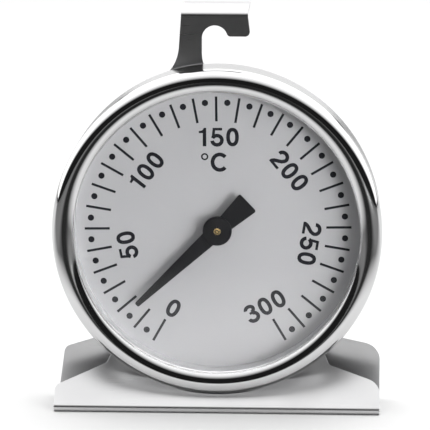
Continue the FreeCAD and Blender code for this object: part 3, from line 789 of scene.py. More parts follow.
@dataclass
class Stand:
    """The folded stand and rack hook, one sheet from the front flange to the hook's lip."""

    place: DialPlace
    sheet: float = 0.6
    bend_inner: float = 0.2
    base_depth: float = 12.4
    width: float = 59.6
    recline: float = 45.0
    flange_left: float = 4.1
    flange_right: float = 5.3
    flange_neck: Point = (20.5, 9.0)
    flange_taper: float = 20.0
    saddle_gap: float = 0.1
    bezel_round: float = 2.0
    small_corner: float = 1.5
    large_corner: float = 3.4
    neck_corner: float = 1.0
    horn_corner: float = 0.15
    plate_lean: float = 1.2
    plate_left: float = 9.4
    plate_right: float = 10.1
    plate_neck: Point = (19.5, 12.3)
    waist: float = 16.5
    waist_drop: float = 12.0
    top_rise: float = 21.0
    fillet: float = 6.0
    hook_top: float = 39.3
    strip: Point = (-6.95, -3.1)
    strip_flare: float = 0.6
    strip_fillet: float = 7.5
    strip_slope: float = 0.96
    nose_right: float = 5.3
    nose_flare: float = 0.45
    nose_corner: float = 0.9
    nose_inner: float = 0.7
    nose_drop: float = 34.6
    notch_radius: float = 2.33
    notch_height: float = 34.3
    hook_bend: float = 0.4
    hook_depth: float = 10.2
    lip_bend: float = 0.8
    lip_angle: float = 55.0
    lip_length: float = 0.4
    rivet_circle: float = 14.5
    rivet_hole: float = 0.93
    edge_round: float = 0.09
    edge_steps: int = 3
    bend_step: float = 7.5
    support: float = 0.08
    saddle_steps: int = 72
    flange_reserve: float = 6.0
    path: FoldedPath = field(init=False)
    plate_start: float = field(init=False)
    reach_back: float = field(init=False)
    crown: float = field(init=False)
    crown_depth: float = field(init=False)

    def __post_init__(self) -> None:
        """Lay out the folded path from the sizes, and read the bezel it clears."""
        outer = self.bend_inner + self.sheet
        tilt = math.radians(self.recline)
        height = self.place.height / MM
        half_base = self.base_depth / 2.0
        self.reach_back = self.flange_neck[1] + self.flange_reserve
        along = (math.sin(tilt), math.cos(tilt))
        fold = (outer - half_base - outer * math.cos(tilt), outer + outer * math.sin(tilt))
        start = (fold[0] + along[0] * self.reach_back, fold[1] + along[1] * self.reach_back)
        plate_top = height + self.hook_top - self.hook_bend - self.sheet
        front_turn = 90.0 + self.recline
        runs = (
            SheetRun(self.reach_back),
            SheetRun(outer * math.radians(front_turn), front_turn),
            SheetRun(self.base_depth - 2.0 * outer),
            SheetRun(outer * math.radians(90.0), 90.0),
            SheetRun(plate_top - outer),
            SheetRun(self.hook_bend * math.radians(90.0), -90.0),
            SheetRun(self.hook_depth),
            SheetRun((self.lip_bend + self.sheet) * math.radians(self.lip_angle), self.lip_angle),
            SheetRun(self.lip_length),
        )
        self.path = FoldedPath(start, 270.0 - self.recline, runs)
        self.plate_start = sum(run.length for run in runs[:4]) - outer
        self.crown = radius_of("bezel_ring") - self.bezel_round
        self.crown_depth = depth_span(self.place, "bezel_ring")[1] - self.bezel_round

    def on_plate(self, height: float) -> float:
        """Reach along the sheet of a height on the back plate."""
        return self.plate_start + height

    def on_flange(self, height: float) -> float:
        """Reach along the sheet of a height up the front flange."""
        return self.reach_back - height

    def saddle(self) -> Outline:
        """The flange's curved edge that clears the round case, right to left."""
        taper = math.tan(math.radians(self.flange_taper))
        side, height = self.flange_neck
        low, high = 0.0, side
        for _ in range(40):
            middle = (low + high) / 2.0
            if side - (self.saddle_height(middle) - height) * taper > middle:
                low = middle
            else:
                high = middle
        points = []
        for index in range(self.saddle_steps + 1):
            x = low * (1.0 - 2.0 * index / self.saddle_steps)
            points.append((x, self.on_flange(self.saddle_height(x))))
        return points

    def saddle_height(self, x: float) -> float:
        """The height up the flange at which the bezel's clearance cuts it.

        Args:
            x: distance from the middle.

        Returns:
            The lower of the heights on the sheet's two faces.
        """
        low, high = 0.0, self.reach_back
        for _ in range(40):
            middle = (low + high) / 2.0
            if any(self.in_bezel(x, middle, lift) for lift in (0.0, self.sheet)):
                high = middle
            else:
                low = middle
        return low

    def in_bezel(self, x: float, height: float, lift: float) -> bool:
        """Whether a point of the flange is inside the bezel's clearance."""
        (y, z), _ = self.path.place(self.on_flange(height), lift)
        radius = math.hypot(x, z - self.place.height / MM)
        depth = self.place.rear / MM - y
        crown, front = self.crown, self.crown_depth
        rounding = self.bezel_round + self.saddle_gap
        if depth <= front:
            return radius <= crown + rounding
        if radius <= crown:
            return depth <= front + rounding
        return math.hypot(radius - crown, depth - front) <= rounding

    def notch(self) -> Outline:
        """The rack notch with the nose's rounded inner corner, from the nose to the strip."""
        axis = self.place.height / MM
        middle = (self.strip[1] + self.notch_radius, self.on_plate(axis + self.notch_height))
        low = self.on_plate(axis + self.nose_drop)
        rise = low + self.nose_inner - middle[1]
        apart = self.notch_radius + self.nose_inner
        run = math.sqrt(apart ** 2 - rise ** 2)
        meet = math.degrees(math.atan2(rise, run))
        corner = (middle[0] + run, low + self.nose_inner)
        radii = (self.nose_inner, self.nose_inner)
        points = arc(corner, radii, 270.0, 180.0 + meet, 8)
        radii = (self.notch_radius, self.notch_radius)
        return points + arc(middle, radii, meet, 180.0, 30)[1:]

    def outline(self) -> Outline:
        """The whole sheet laid flat: x against the reach along the path."""
        half = self.width / 2.0
        axis = self.place.height / MM
        plate = self.on_plate
        high = axis + self.top_rise
        strip_low = self.strip[0] - self.strip_flare
        shoulder = self.waist + strip_low
        bend = plate(axis + self.hook_top - self.hook_bend - self.sheet)
        outer = self.bend_inner + self.sheet
        saddle = self.saddle()
        corners = [
            (-half, self.on_flange(self.flange_left), self.small_corner),
            (-half, plate(outer), 0.0),
            (self.plate_lean - half, plate(self.plate_left), self.small_corner),
            (-self.plate_neck[0], plate(self.plate_neck[1]), self.neck_corner),
            (-self.waist, plate(axis - self.waist_drop), self.fillet),
            (-self.waist, plate(high), self.fillet),
            (strip_low, plate(high + shoulder * self.strip_slope), self.strip_fillet),
            (self.strip[0], bend, 0.0),
            (self.strip[0], self.path.length, self.horn_corner),
            (self.nose_right, self.path.length, self.horn_corner),
            (self.nose_right, bend, 0.0),
            (self.nose_right + self.nose_flare, plate(axis + self.nose_drop), self.nose_corner),
        ]
        corners += [(x, y, 0.0) for x, y in self.notch()]
        corners += [
            (self.strip[1], plate(high + self.fillet), self.fillet),
            (self.waist, plate(high), self.fillet),
            (self.waist, plate(axis - self.waist_drop), self.fillet),
            (self.plate_neck[0], plate(self.plate_neck[1]), self.neck_corner),
            (half, plate(self.plate_right), self.large_corner),
            (half, self.on_flange(self.flange_right), self.large_corner),
            (self.flange_neck[0], self.on_flange(self.flange_neck[1]), self.neck_corner),
            (*saddle[0], self.horn_corner),
        ]
        corners += [(x, y, 0.0) for x, y in saddle[1:-1]]
        corners += [
            (*saddle[-1], self.horn_corner),
            (-self.flange_neck[0], self.on_flange(self.flange_neck[1]), self.neck_corner),
        ]
        return rounded(corners)

    def levels(self) -> list[float]:
        """Reaches where the sheet is divided so that it can bend."""
        found = []
        for begin, length, _, _, turn in self.path.legs:
            if turn == 0.0:
                continue
            count = max(4, round(abs(math.degrees(turn)) / self.bend_step))
            found.append(begin - self.support)
            found += [begin + length * index / count for index in range(count + 1)]
            found.append(begin + length + self.support)
        return found

    @staticmethod
    def divided(outline: Outline, levels: Sequence[float]) -> tuple[Outline, list[tuple[int, int]]]:
        """Add a point to the outline where each level crosses it.

        Args:
            outline: the closed outline.
            levels: the levels to add.

        Returns:
            The new outline and the pair of point numbers on each level.
        """
        points: Outline = []
        marks: dict[float, list[int]] = {}
        for index, point in enumerate(outline):
            last = outline[index - 1]
            crossed = []
            for level in levels:
                if (last[1] - level) * (point[1] - level) < -1e-9:
                    share = (level - last[1]) / (point[1] - last[1])
                    crossed.append((share, level))
            for share, level in sorted(crossed):
                marks.setdefault(level, []).append(len(points))
                points.append((last[0] + (point[0] - last[0]) * share, level))
            for level in levels:
                if abs(point[1] - level) < 1e-6:
                    marks.setdefault(level, []).append(len(points))
            points.append(point)
        return points, [(found[0], found[1]) for found in marks.values() if len(found) == 2]

    def build(self, material: bpy.types.Material) -> bpy.types.Object:
        """Make the folded sheet with rounded edges.

        Args:
            material: the stand's finish.

        Returns:
            The stand.
        """
        outline, cuts = self.divided(self.outline(), self.levels())
        directions = outward_directions(outline)
        rings = []
        for index in range(self.edge_steps + 1):
            angle = math.radians(90.0) * index / self.edge_steps
            inset = self.edge_round * (1.0 - math.sin(angle))
            rings.append((inset, self.edge_round * (1.0 - math.cos(angle)), angle))
        upper = [
            (inset, self.sheet - lift, math.pi - angle)
            for inset, lift, angle in reversed(rings)]
        made = bmesh.new()
        normals: list[Vector] = []

        def add(
            x: float, reach: float, lift: float, out: Vector, angle: float
        ) -> bmesh.types.BMVert:
            """Add one vertex and keep its normal."""
            (y, z), across = self.path.place(reach, lift)
            along = Vector((0.0, across[1], -across[0]))
            normal = Vector((out.x, 0.0, 0.0)) + along * out.y
            through = Vector((0.0, across[0], across[1]))
            normals.append((normal * math.sin(angle) - through * math.cos(angle)).normalized())
            return made.verts.new((x * MM, y * MM, z * MM))

        holes = []
        for index in range(3):
            angle = math.radians(-90.0 + 120.0 * index)
            centre = (
                self.rivet_circle * math.cos(angle),
                self.on_plate(self.place.height / MM + self.rivet_circle * math.sin(angle)),
            )
            holes.append(circle(centre, self.rivet_hole, 48))
        inner = []
        for point, direction in zip(outline, directions):
            inner.append((
                point[0] - direction.x * self.edge_round,
                point[1] - direction.y * self.edge_round))
        points, triangles, number = fill([inner], holes, cuts)
        still = Vector((0.0, 0.0))
        under = [add(x, y, 0.0, still, 0.0) for x, y in points]
        over = [add(x, y, self.sheet, still, math.pi) for x, y in points]
        for a, b, c in triangles:
            made.faces.new([under[a], under[b], under[c]])
            made.faces.new([over[a], over[b], over[c]])
        rim = [number[index] for index in range(len(inner))]
        rows = [[under[index] for index in rim]]
        for inset, lift, angle in rings[1:] + upper[:-1]:
            row = []
            for point, direction in zip(outline, directions):
                out = direction.normalized()
                row.append(add(
                    point[0] - direction.x * inset, point[1] - direction.y * inset,
                    lift, out, angle))
            rows.append(row)
        rows.append([over[index] for index in rim])
        for lower, following in zip(rows, rows[1:]):
            for index in range(len(outline)):
                made.faces.new([
                    lower[index - 1], lower[index], following[index], following[index - 1]])
        first = len(inner)
        for hole in holes:
            edge = [number[first + index] for index in range(len(hole))]
            first += len(hole)
            for index in range(len(edge)):
                last, here = edge[index - 1], edge[index]
                made.faces.new([under[last], under[here], over[here], over[last]])
        bmesh.ops.recalc_face_normals(made, faces=made.faces)
        for face in made.faces:
            face.smooth = True
        mesh = bpy.data.meshes.new("folded_stand")
        made.to_mesh(mesh)
        made.free()
        mesh.normals_split_custom_set_from_vertices([tuple(normal) for normal in normals])
        stand = new_object("folded_stand", mesh, material)
        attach(stand, Body.CASE.value)
        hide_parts("stand_bracket")
        return stand


# ---- Case, bezel and glass -----------------------------------------------------------------
@dataclass
class Case:
    """The drawn case and the rivets that hold it to the stand."""

    place: DialPlace
    wall: float = 0.4
    floor: float = 0.5
    corner: float = 0.9
    step: float = 0.4
    step_length: float = 1.95
    edge: float = 0.08
    rivet_circle: float = 14.5
    rivet_count: int = 3
    rivet_shank: float = 0.9
    rivet_head: float = 1.7
    rivet_dome: float = 0.75
    rivet_inner: float = 1.5
    rivet_inner_height: float = 0.4
    rivet_clearance: float = 0.03
    hole_steps: int = 48
    sheet: float = 0.6
    holes: tuple[tuple[float, float, float], ...] = (
        (0.0, 0.0, 1.21), (-12.5, 0.0, 0.63), (12.5, 0.0, 0.63), (0.0, -8.54, 0.58))

    def build_cup(self, material: bpy.types.Material) -> bpy.types.Object:
        """Make the drawn cup with its step and floor holes.

        Args:
            material: the case's finish.

        Returns:
            The cup.
        """
        radius = radius_of("case_cup")
        rim = depth_span(self.place, "case_cup")[1]
        step_depth = rim - self.step_length
        inside = radius - self.wall
        stepped = radius - self.step
        wall_inside = stepped - self.wall
        corners = [
            (0.0, 0.0, 0.0),
            (radius, 0.0, self.corner),
            (radius, step_depth, 2.0 * self.edge),
            (stepped, step_depth, self.edge),
            (stepped, rim, self.edge),
            (wall_inside, rim, self.edge),
            (wall_inside, step_depth - self.wall, self.edge),
            (inside, step_depth - self.wall, self.edge),
            (inside, self.floor, self.corner - self.wall),
            (0.0, self.floor, 0.0),
        ]
        cup = spun("drawn_case", rounded(corners, 11.25), self.place, material)
        places = [*self.holes]
        for index in range(self.rivet_count):
            angle = math.radians(-90.0 + 360.0 * index / self.rivet_count)
            places.append((
                self.rivet_circle * math.cos(angle), self.rivet_circle * math.sin(angle),
                self.rivet_shank + self.rivet_clearance))
        made = bmesh.new()
        for x, rise, size in places:
            slab(
                made, [circle((x, rise), size, self.hole_steps)], [], self.place.point,
                -1.0, self.floor + 1.0)
        bmesh.ops.recalc_face_normals(made, faces=made.faces)
        mesh = bpy.data.meshes.new("hole_punch")
        made.to_mesh(mesh)
        made.free()
        punch = new_object("hole_punch", mesh, material)
        cut = cup.modifiers.new("holes", "BOOLEAN")
        cut.operation = "DIFFERENCE"
        cut.solver = "EXACT"
        cut.object = punch
        settled(cup)
        bpy.data.objects.remove(punch)
        cup.data.materials.clear()
        cup.data.materials.append(material)
        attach(cup, Body.CASE.value)
        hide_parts("case_cup")
        return cup

    def build_rivets(self, material: bpy.types.Material) -> bpy.types.Object:
        """Make the domed rivets by instancing one on a ring.

        Args:
            material: the rivets' finish.

        Returns:
            All the rivets as one piece.
        """
        top = -self.sheet - self.rivet_dome
        ball = (self.rivet_head ** 2 + self.rivet_dome ** 2) / (2.0 * self.rivet_dome)
        edge = math.degrees(math.asin(self.rivet_head / ball))
        dome = arc((0.0, top + ball), (ball, ball), -90.0, edge - 90.0, 10)
        inner_top = self.floor + self.rivet_inner_height
        section = dome[:-1] + rounded([
            (self.rivet_head, -self.sheet, 0.06),
            (self.rivet_shank, -self.sheet, 0.0),
            (self.rivet_shank, self.floor, 0.0),
            (self.rivet_inner, self.floor, 0.0),
            (self.rivet_inner, inner_top, 0.12),
            (0.0, inner_top, 0.0),
        ], 22.5)[1:]
        section.insert(len(dome) - 1, (self.rivet_head, -self.sheet))
        centre = DialPlace(0.0, 0.0)
        model = spun("rivet_model", section, centre, material, steps=48)
        tree = RingTree("rivet_ring", RingShape.COPIES, material)
        holder = tree.grow("case_rivets_domed", {
            "Count": self.rivet_count,
            "First Angle": math.radians(180.0),
            "Step Angle": TURN / self.rivet_count,
            "Radius": self.rivet_circle * MM,
            "Centre": self.place.point(0.0, 0.0, 0.0),
            "Model": model,
        })
        bpy.data.objects.remove(model)
        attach(holder, Body.CASE.value)
        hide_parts("case_rivets")
        return holder


@dataclass
class Bezel:
    """The rolled bezel, the glass behind it and the bright ring under the glass."""

    place: DialPlace
    wall: float = 0.5
    round_radius: float = 2.0
    slope_round: float = 2.5
    opening: float = 26.0
    land: float = 0.3
    lip_out: Point = (0.05, 0.02)
    lip_drop: float = 0.06
    edge: float = 0.1
    glass_bevel: float = 0.25
    spacer_chamfer: float = 0.4

    def build_ring(self, material: bpy.types.Material) -> bpy.types.Object:
        """Make the rolled bezel.

        Args:
            material: the bezel's finish.

        Returns:
            The bezel.
        """
        radius = radius_of("bezel_ring")
        rear, apex = depth_span(self.place, "bezel_ring")
        glass = depth_span(self.place, "glass_lens")[1]
        crown = radius - self.round_radius
        round_depth = apex - self.round_radius
        slope_centre = apex - self.slope_round
        slope = math.degrees(math.asin((crown - self.opening) / self.slope_round))
        inner_slope = self.slope_round - self.wall
        land_radius = self.opening + self.land
        land = math.degrees(math.asin((crown - land_radius) / inner_slope))
        inner_round = self.round_radius - self.wall
        skirt = radius - self.wall
        outside = (self.round_radius, self.round_radius)
        section = [(skirt, rear + self.edge), (skirt + self.edge * 0.3, rear + self.edge * 0.3),
                   (skirt + self.edge, rear), (radius - self.edge, rear),
                   (radius - self.edge * 0.3, rear + self.edge * 0.3), (radius, rear + self.edge)]
        section += arc((crown, round_depth), outside, 0.0, 90.0, 18)
        outer_slope = (self.slope_round, self.slope_round)
        section += arc((crown, slope_centre), outer_slope, 90.0, 90.0 + slope, 14)[1:]
        lip = section.pop()
        section += [
            (lip[0] + self.lip_out[0], lip[1] + self.lip_out[1]),
            (lip[0], lip[1] - self.lip_drop)]
        section += [(self.opening, glass), (land_radius, glass)]
        section += arc((crown, slope_centre), (inner_slope, inner_slope), 90.0 + land, 90.0, 10)[1:]
        section += arc((crown, round_depth), (inner_round, inner_round), 90.0, 0.0, 12)[1:]
        ring = spun("rolled_bezel", section, self.place, material)
        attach(ring, Body.CASE.value)
        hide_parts("bezel_ring")
        return ring

    def build_glass(self, material: bpy.types.Material) -> bpy.types.Object:
        """Make the flat glass with its ground edge.

        Args:
            material: the glass finish.

        Returns:
            The glass.
        """
        rear, front = depth_span(self.place, "glass_lens")
        radius = radius_of("glass_lens")
        bevel = self.glass_bevel
        section = [
            (0.0, rear), (radius - bevel, rear), (radius, rear + bevel),
            (radius, front - bevel), (radius - bevel, front), (0.0, front),
        ]
        glass = spun("flat_glass", section, self.place, material)
        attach(glass, Body.CASE.value)
        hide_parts("glass_lens")
        return glass

    def build_spacer(self, material: bpy.types.Material, inner: float = 26.15) -> bpy.types.Object:
        """Make the bright ring between dial and glass.

        Args:
            material: the ring's finish.
            inner: its inside radius.

        Returns:
            The ring.
        """
        rear, front = depth_span(self.place, "spacer_ring")
        radius = radius_of("spacer_ring")
        section = rounded([
            (inner, rear, 0.0),
            (radius, rear, 0.0),
            (radius, front, 0.1),
            (inner + self.spacer_chamfer, front, 0.15),
            (inner, front - self.spacer_chamfer, 0.15),
        ], 11.25)
        ring = spun("bright_spacer", section, self.place, material)
        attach(ring, Body.CASE.value)
        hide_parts("spacer_ring")
        return ring


# ---- Rings of repeated pieces --------------------------------------------------------------
class RingShape(Enum):
    """What a ring repeats."""

    BARS = "bars"
    DOTS = "dots"
    COPIES = "copies of a model"


class RingTree:
    """A Geometry Nodes tree that repeats a shape around the dial's axis."""

    NUMBERS = ("First Angle", "Step Angle", "Radius", "Width", "Length", "Thickness")

    def __init__(self, name: str, shape: RingShape, material: bpy.types.Material) -> None:
        """Build the tree.

        Args:
            name: the tree's name.
            shape: what it repeats.
            material: the finish of each copy.
        """
        self.shape = shape
        self.tree = bpy.data.node_groups.new(name, "GeometryNodeTree")
        interface = self.tree.interface
        interface.new_socket("Geometry", in_out="OUTPUT", socket_type="NodeSocketGeometry")
        interface.new_socket("Count", in_out="INPUT", socket_type="NodeSocketInt")
        for label in self.NUMBERS:
            interface.new_socket(label, in_out="INPUT", socket_type=FLOAT)
        interface.new_socket("Centre", in_out="INPUT", socket_type=VECTOR)
        interface.new_socket("Model", in_out="INPUT", socket_type="NodeSocketObject")
        wiring = Wiring(self.tree)
        source = wiring.node("NodeGroupInput").outputs
        number = wiring.node("GeometryNodeInputIndex").outputs[0]
        turned = wiring.maths("MULTIPLY", number, source["Step Angle"])
        angle = wiring.maths("ADD", turned, source["First Angle"])
        across = wiring.maths("MULTIPLY", wiring.maths("SINE", angle), source["Radius"])
        upright = wiring.maths("MULTIPLY", wiring.maths("COSINE", angle), source["Radius"])
        offset = wiring.node("ShaderNodeCombineXYZ", {"X": across, "Z": upright})
        spot = wiring.node("ShaderNodeVectorMath", {
            0: source["Centre"], 1: offset.outputs[0]}, operation="ADD")
        points = wiring.node("GeometryNodePoints", {
            "Count": source["Count"], "Position": spot.outputs[0]})
        facing = wiring.node("ShaderNodeCombineXYZ", {"Y": angle})
        rotation = wiring.node("FunctionNodeEulerToRotation", {0: facing.outputs[0]})
        copies = wiring.node("GeometryNodeInstanceOnPoints", {
            "Points": points.outputs[0], "Instance": self.repeated(wiring, source),
            "Rotation": rotation.outputs[0]})
        real = wiring.node("GeometryNodeRealizeInstances", {0: copies.outputs[0]})
        finished = wiring.node("GeometryNodeSetMaterial", {
            "Geometry": real.outputs[0], "Material": material})
        wiring.node("NodeGroupOutput", {0: finished.outputs[0]})

    def repeated(self, wiring: Wiring, source: bpy.types.bpy_prop_collection) -> Socket:
        """The geometry that each place on the ring receives.

        Args:
            wiring: the tree's wiring.
            source: the tree's inputs.

        Returns:
            The geometry's socket.
        """
        if self.shape is RingShape.BARS:
            size = wiring.node("ShaderNodeCombineXYZ", {
                "X": source["Width"], "Y": source["Thickness"], "Z": source["Length"]})
            return wiring.node("GeometryNodeMeshCube", {"Size": size.outputs[0]}).outputs[0]
        if self.shape is RingShape.DOTS:
            half = wiring.maths("MULTIPLY", source["Width"], 0.5)
            disc = wiring.node("GeometryNodeMeshCylinder", {
                "Vertices": 32, "Radius": half, "Depth": source["Thickness"]})
            return wiring.node("GeometryNodeTransform", {
                "Geometry": disc.outputs[0], "Rotation": (math.radians(90.0), 0.0, 0.0)}).outputs[0]
        info = wiring.node("GeometryNodeObjectInfo", {"Object": source["Model"]})
        return info.outputs["Geometry"]

    def grow(self, name: str, values: dict[str, object]) -> bpy.types.Object:
        """Run the tree once and keep its plain mesh.

        Args:
            name: the new object's name.
            values: a value for each named input.

        Returns:
            The object, without a modifier.
        """
        obj = bpy.data.objects.new(name, bpy.data.meshes.new(name))
        modifier = obj.modifiers.new("ring", "NODES")
        modifier.node_group = self.tree
        for item in self.tree.interface.items_tree:
            if item.in_out == "INPUT" and item.name in values:
                modifier[item.identifier] = values[item.name]
        bpy.context.scene.collection.objects.link(obj)
        return settled(obj)


# ---- Dial ----------------------------------------------------------------------------------
class TextUp(Enum):
    """Which way the tops of a numeral point."""

    OUTWARD = 0.0
    INWARD = 180.0


@dataclass(frozen=True)
class Numeral:
    """One number of the scale."""

    text: str
    angle: float
    radius: float
    tops: TextUp = TextUp.OUTWARD


@dataclass
class Lettering:
    """Plain upright numerals drawn with an even pen; sizes are shares of the height."""

    pen: float = 0.20
    advance: float = 0.825
    cell: float = 0.70

    def glyph(self, letter: str) -> list[Outline]:
        """The outlines that cover one letter, in a cell that starts at x = 0.

        Args:
            letter: one of 0, 1, 2, 3, 5 and C.

        Returns:
            Outlines that may overlap.
        """
        pen = self.pen
        middle = self.cell / 2.0
        if letter == "0":
            path = []
            for index in range(64):
                angle = TURN * index / 64
                c, s = math.cos(angle), math.sin(angle)
                path.append((
                    middle + 0.238 * math.copysign(abs(c) ** 0.86, c),
                    0.5 + 0.405 * math.copysign(abs(s) ** 0.9, s)))
            return stroke(path, pen, closed=True)
        if letter == "1":
            return [[
                (0.405, 0.0), (0.595, 0.0), (0.595, 1.0), (0.46, 1.0), (0.435, 0.93),
                (0.385, 0.875),
                (0.30, 0.845), (0.20, 0.835), (0.20, 0.715), (0.405, 0.715),
            ]]
        if letter == "2":
            path = arc((middle, 0.69), (0.26, 0.232), 186.0, -24.0, 26)
            path += [(0.515, 0.475), (0.40, 0.38), (0.28, 0.295), (0.18, 0.205), (0.12, 0.09)]
            return [*stroke(path, pen), [(0.02, 0.0), (0.68, 0.0), (0.68, 0.15), (0.02, 0.15)]]
        if letter == "3":
            upper = arc((middle - 0.005, 0.75), (0.225, 0.172), 176.0, -80.0, 26)
            lower = arc((middle, 0.30), (0.262, 0.222), 82.0, -176.0, 30)
            bar = [(0.245, 0.475), (0.40, 0.475), (0.40, 0.61), (0.245, 0.61)]
            return [*stroke(upper, pen * 0.96), *stroke(lower, pen), bar]
        if letter == "5":
            bowl = arc((middle - 0.005, 0.33), (0.262, 0.252), 154.0, -174.0, 34)
            bar = [(0.135, 0.86), (0.62, 0.86), (0.62, 1.0), (0.135, 1.0)]
            stem = [(0.12, 1.0), (0.265, 1.0), (0.215, 0.50), (0.055, 0.455)]
            return [*stroke(bowl, pen), bar, stem]
        path = arc((0.40, 0.5), (0.38, 0.41), 42.0, 318.0, 40)
        return stroke(path, pen)

    def text(self, letters: str, height: float) -> list[Outline]:
        """The outlines of a word, centred on the origin.

        Args:
            letters: the word.
            height: the letters' height.

        Returns:
            Outlines that may overlap.
        """
        outlines = []
        run = self.advance * (len(letters) - 1)
        for index, letter in enumerate(letters):
            shift = self.advance * index - run / 2.0 - self.cell / 2.0
            for outline in self.glyph(letter):
                outlines.append([((x + shift) * height, (y - 0.5) * height) for x, y in outline])
        return outlines


@dataclass
class Dial:
    """The satin dial plate and its printed scale."""

    place: DialPlace
    hole: float = 1.9
    ink: float = 0.012
    sink: float = 0.004
    first_angle: float = 210.0
    tick_count: int = 31
    tick_step: float = 10.0
    tick_span: Point = (19.8, 24.4)
    tick_width: float = 0.45
    dot_radius: float = 23.3
    dot_size: float = 1.15
    print_turn: float = -0.78
    numeral_height: float = 3.4
    numerals: tuple[Numeral, ...] = (
        Numeral("0", 209.1, 17.25, TextUp.INWARD),
        Numeral("50", 259.3, 16.95),
        Numeral("100", 308.9, 16.75),
        Numeral("150", 0.3, 16.9),
        Numeral("200", 51.4, 16.95),
        Numeral("250", 100.3, 16.95),
        Numeral("300", 150.2, 17.0, TextUp.INWARD),
    )
    unit_letter: Point = (0.18, 12.25)
    unit_height: float = 3.5
    degree_ring: Point = (-2.4, 13.25)
    degree_radius: float = 0.52
    degree_pen: float = 0.28
    lettering: Lettering = field(default_factory=Lettering)

    def build_plate(self, material: bpy.types.Material) -> bpy.types.Object:
        """Make the dial plate.

        Args:
            material: the dial's finish.

        Returns:
            The plate.
        """
        rear, front = depth_span(self.place, "dial_plate")
        radius = radius_of("dial_plate")
        section = rounded([
            (self.hole, rear, 0.0), (radius, rear, 0.0),
            (radius, front, 0.05), (self.hole, front, 0.05),
        ], 30.0)
        plate = spun("satin_dial", section, self.place, material)
        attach(plate, Body.CASE.value)
        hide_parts("dial_plate")
        return plate

    def build_marks(self, material: bpy.types.Material) -> list[bpy.types.Object]:
        """Print the ticks and the dots between them.

        Args:
            material: the ink.

        Returns:
            The ticks and the dots.
        """
        front = depth_span(self.place, "dial_plate")[1]
        middle = front + (self.ink - self.sink) / 2.0
        low, high = self.tick_span
        common = {
            "Step Angle": math.radians(self.tick_step),
            "Thickness": (self.ink + self.sink) * MM,
            "Centre": self.place.point(0.0, 0.0, middle),
        }
        ticks = RingTree("tick_ring", RingShape.BARS, material).grow("scale_ticks", {
            **common,
            "Count": self.tick_count,
            "First Angle": math.radians(self.first_angle + self.print_turn),
            "Radius": (low + high) / 2.0 * MM,
            "Width": self.tick_width * MM,
            "Length": (high - low) * MM,
        })
        dots = RingTree("dot_ring", RingShape.DOTS, material).grow("scale_dots", {
            **common,
            "Count": self.tick_count - 1,
            "First Angle": math.radians(self.first_angle + self.print_turn + self.tick_step / 2.0),
            "Radius": self.dot_radius * MM,
            "Width": self.dot_size * MM,
        })
        for marks in (ticks, dots):
            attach(marks, Body.CASE.value)
        return [ticks, dots]

    def build_numerals(self, material: bpy.types.Material) -> bpy.types.Object:
        """Print the numbers and the unit.

        Args:
            material: the ink.

        Returns:
            The lettering.
        """
        front = depth_span(self.place, "dial_plate")[1]
        made = bmesh.new()
        for numeral in self.numerals:
            around = math.radians(numeral.angle + self.print_turn)
            turn = around + math.radians(numeral.tops.value)
            centre = Vector((math.sin(around), math.cos(around))) * numeral.radius
            spin = Matrix.Rotation(-turn, 2)
            outlines = []
            for outline in self.lettering.text(numeral.text, self.numeral_height):
                outlines.append([tuple(centre + spin @ Vector(point)) for point in outline])
            slab(made, outlines, [], self.place.point, front - self.sink, front + self.ink)
        letter = []
        for outline in self.lettering.text("C", self.unit_height):
            letter.append([(x + self.unit_letter[0], y + self.unit_letter[1]) for x, y in outline])
        slab(made, letter, [], self.place.point, front - self.sink, front + self.ink)
        path = circle(self.degree_ring, self.degree_radius, 40)
        ring = stroke(path, self.degree_pen, closed=True)
        slab(made, ring, [], self.place.point, front - self.sink, front + self.ink)
        print_mesh = shaded("scale_numerals", made, material)
        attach(print_mesh, Body.CASE.value)
        return print_mesh


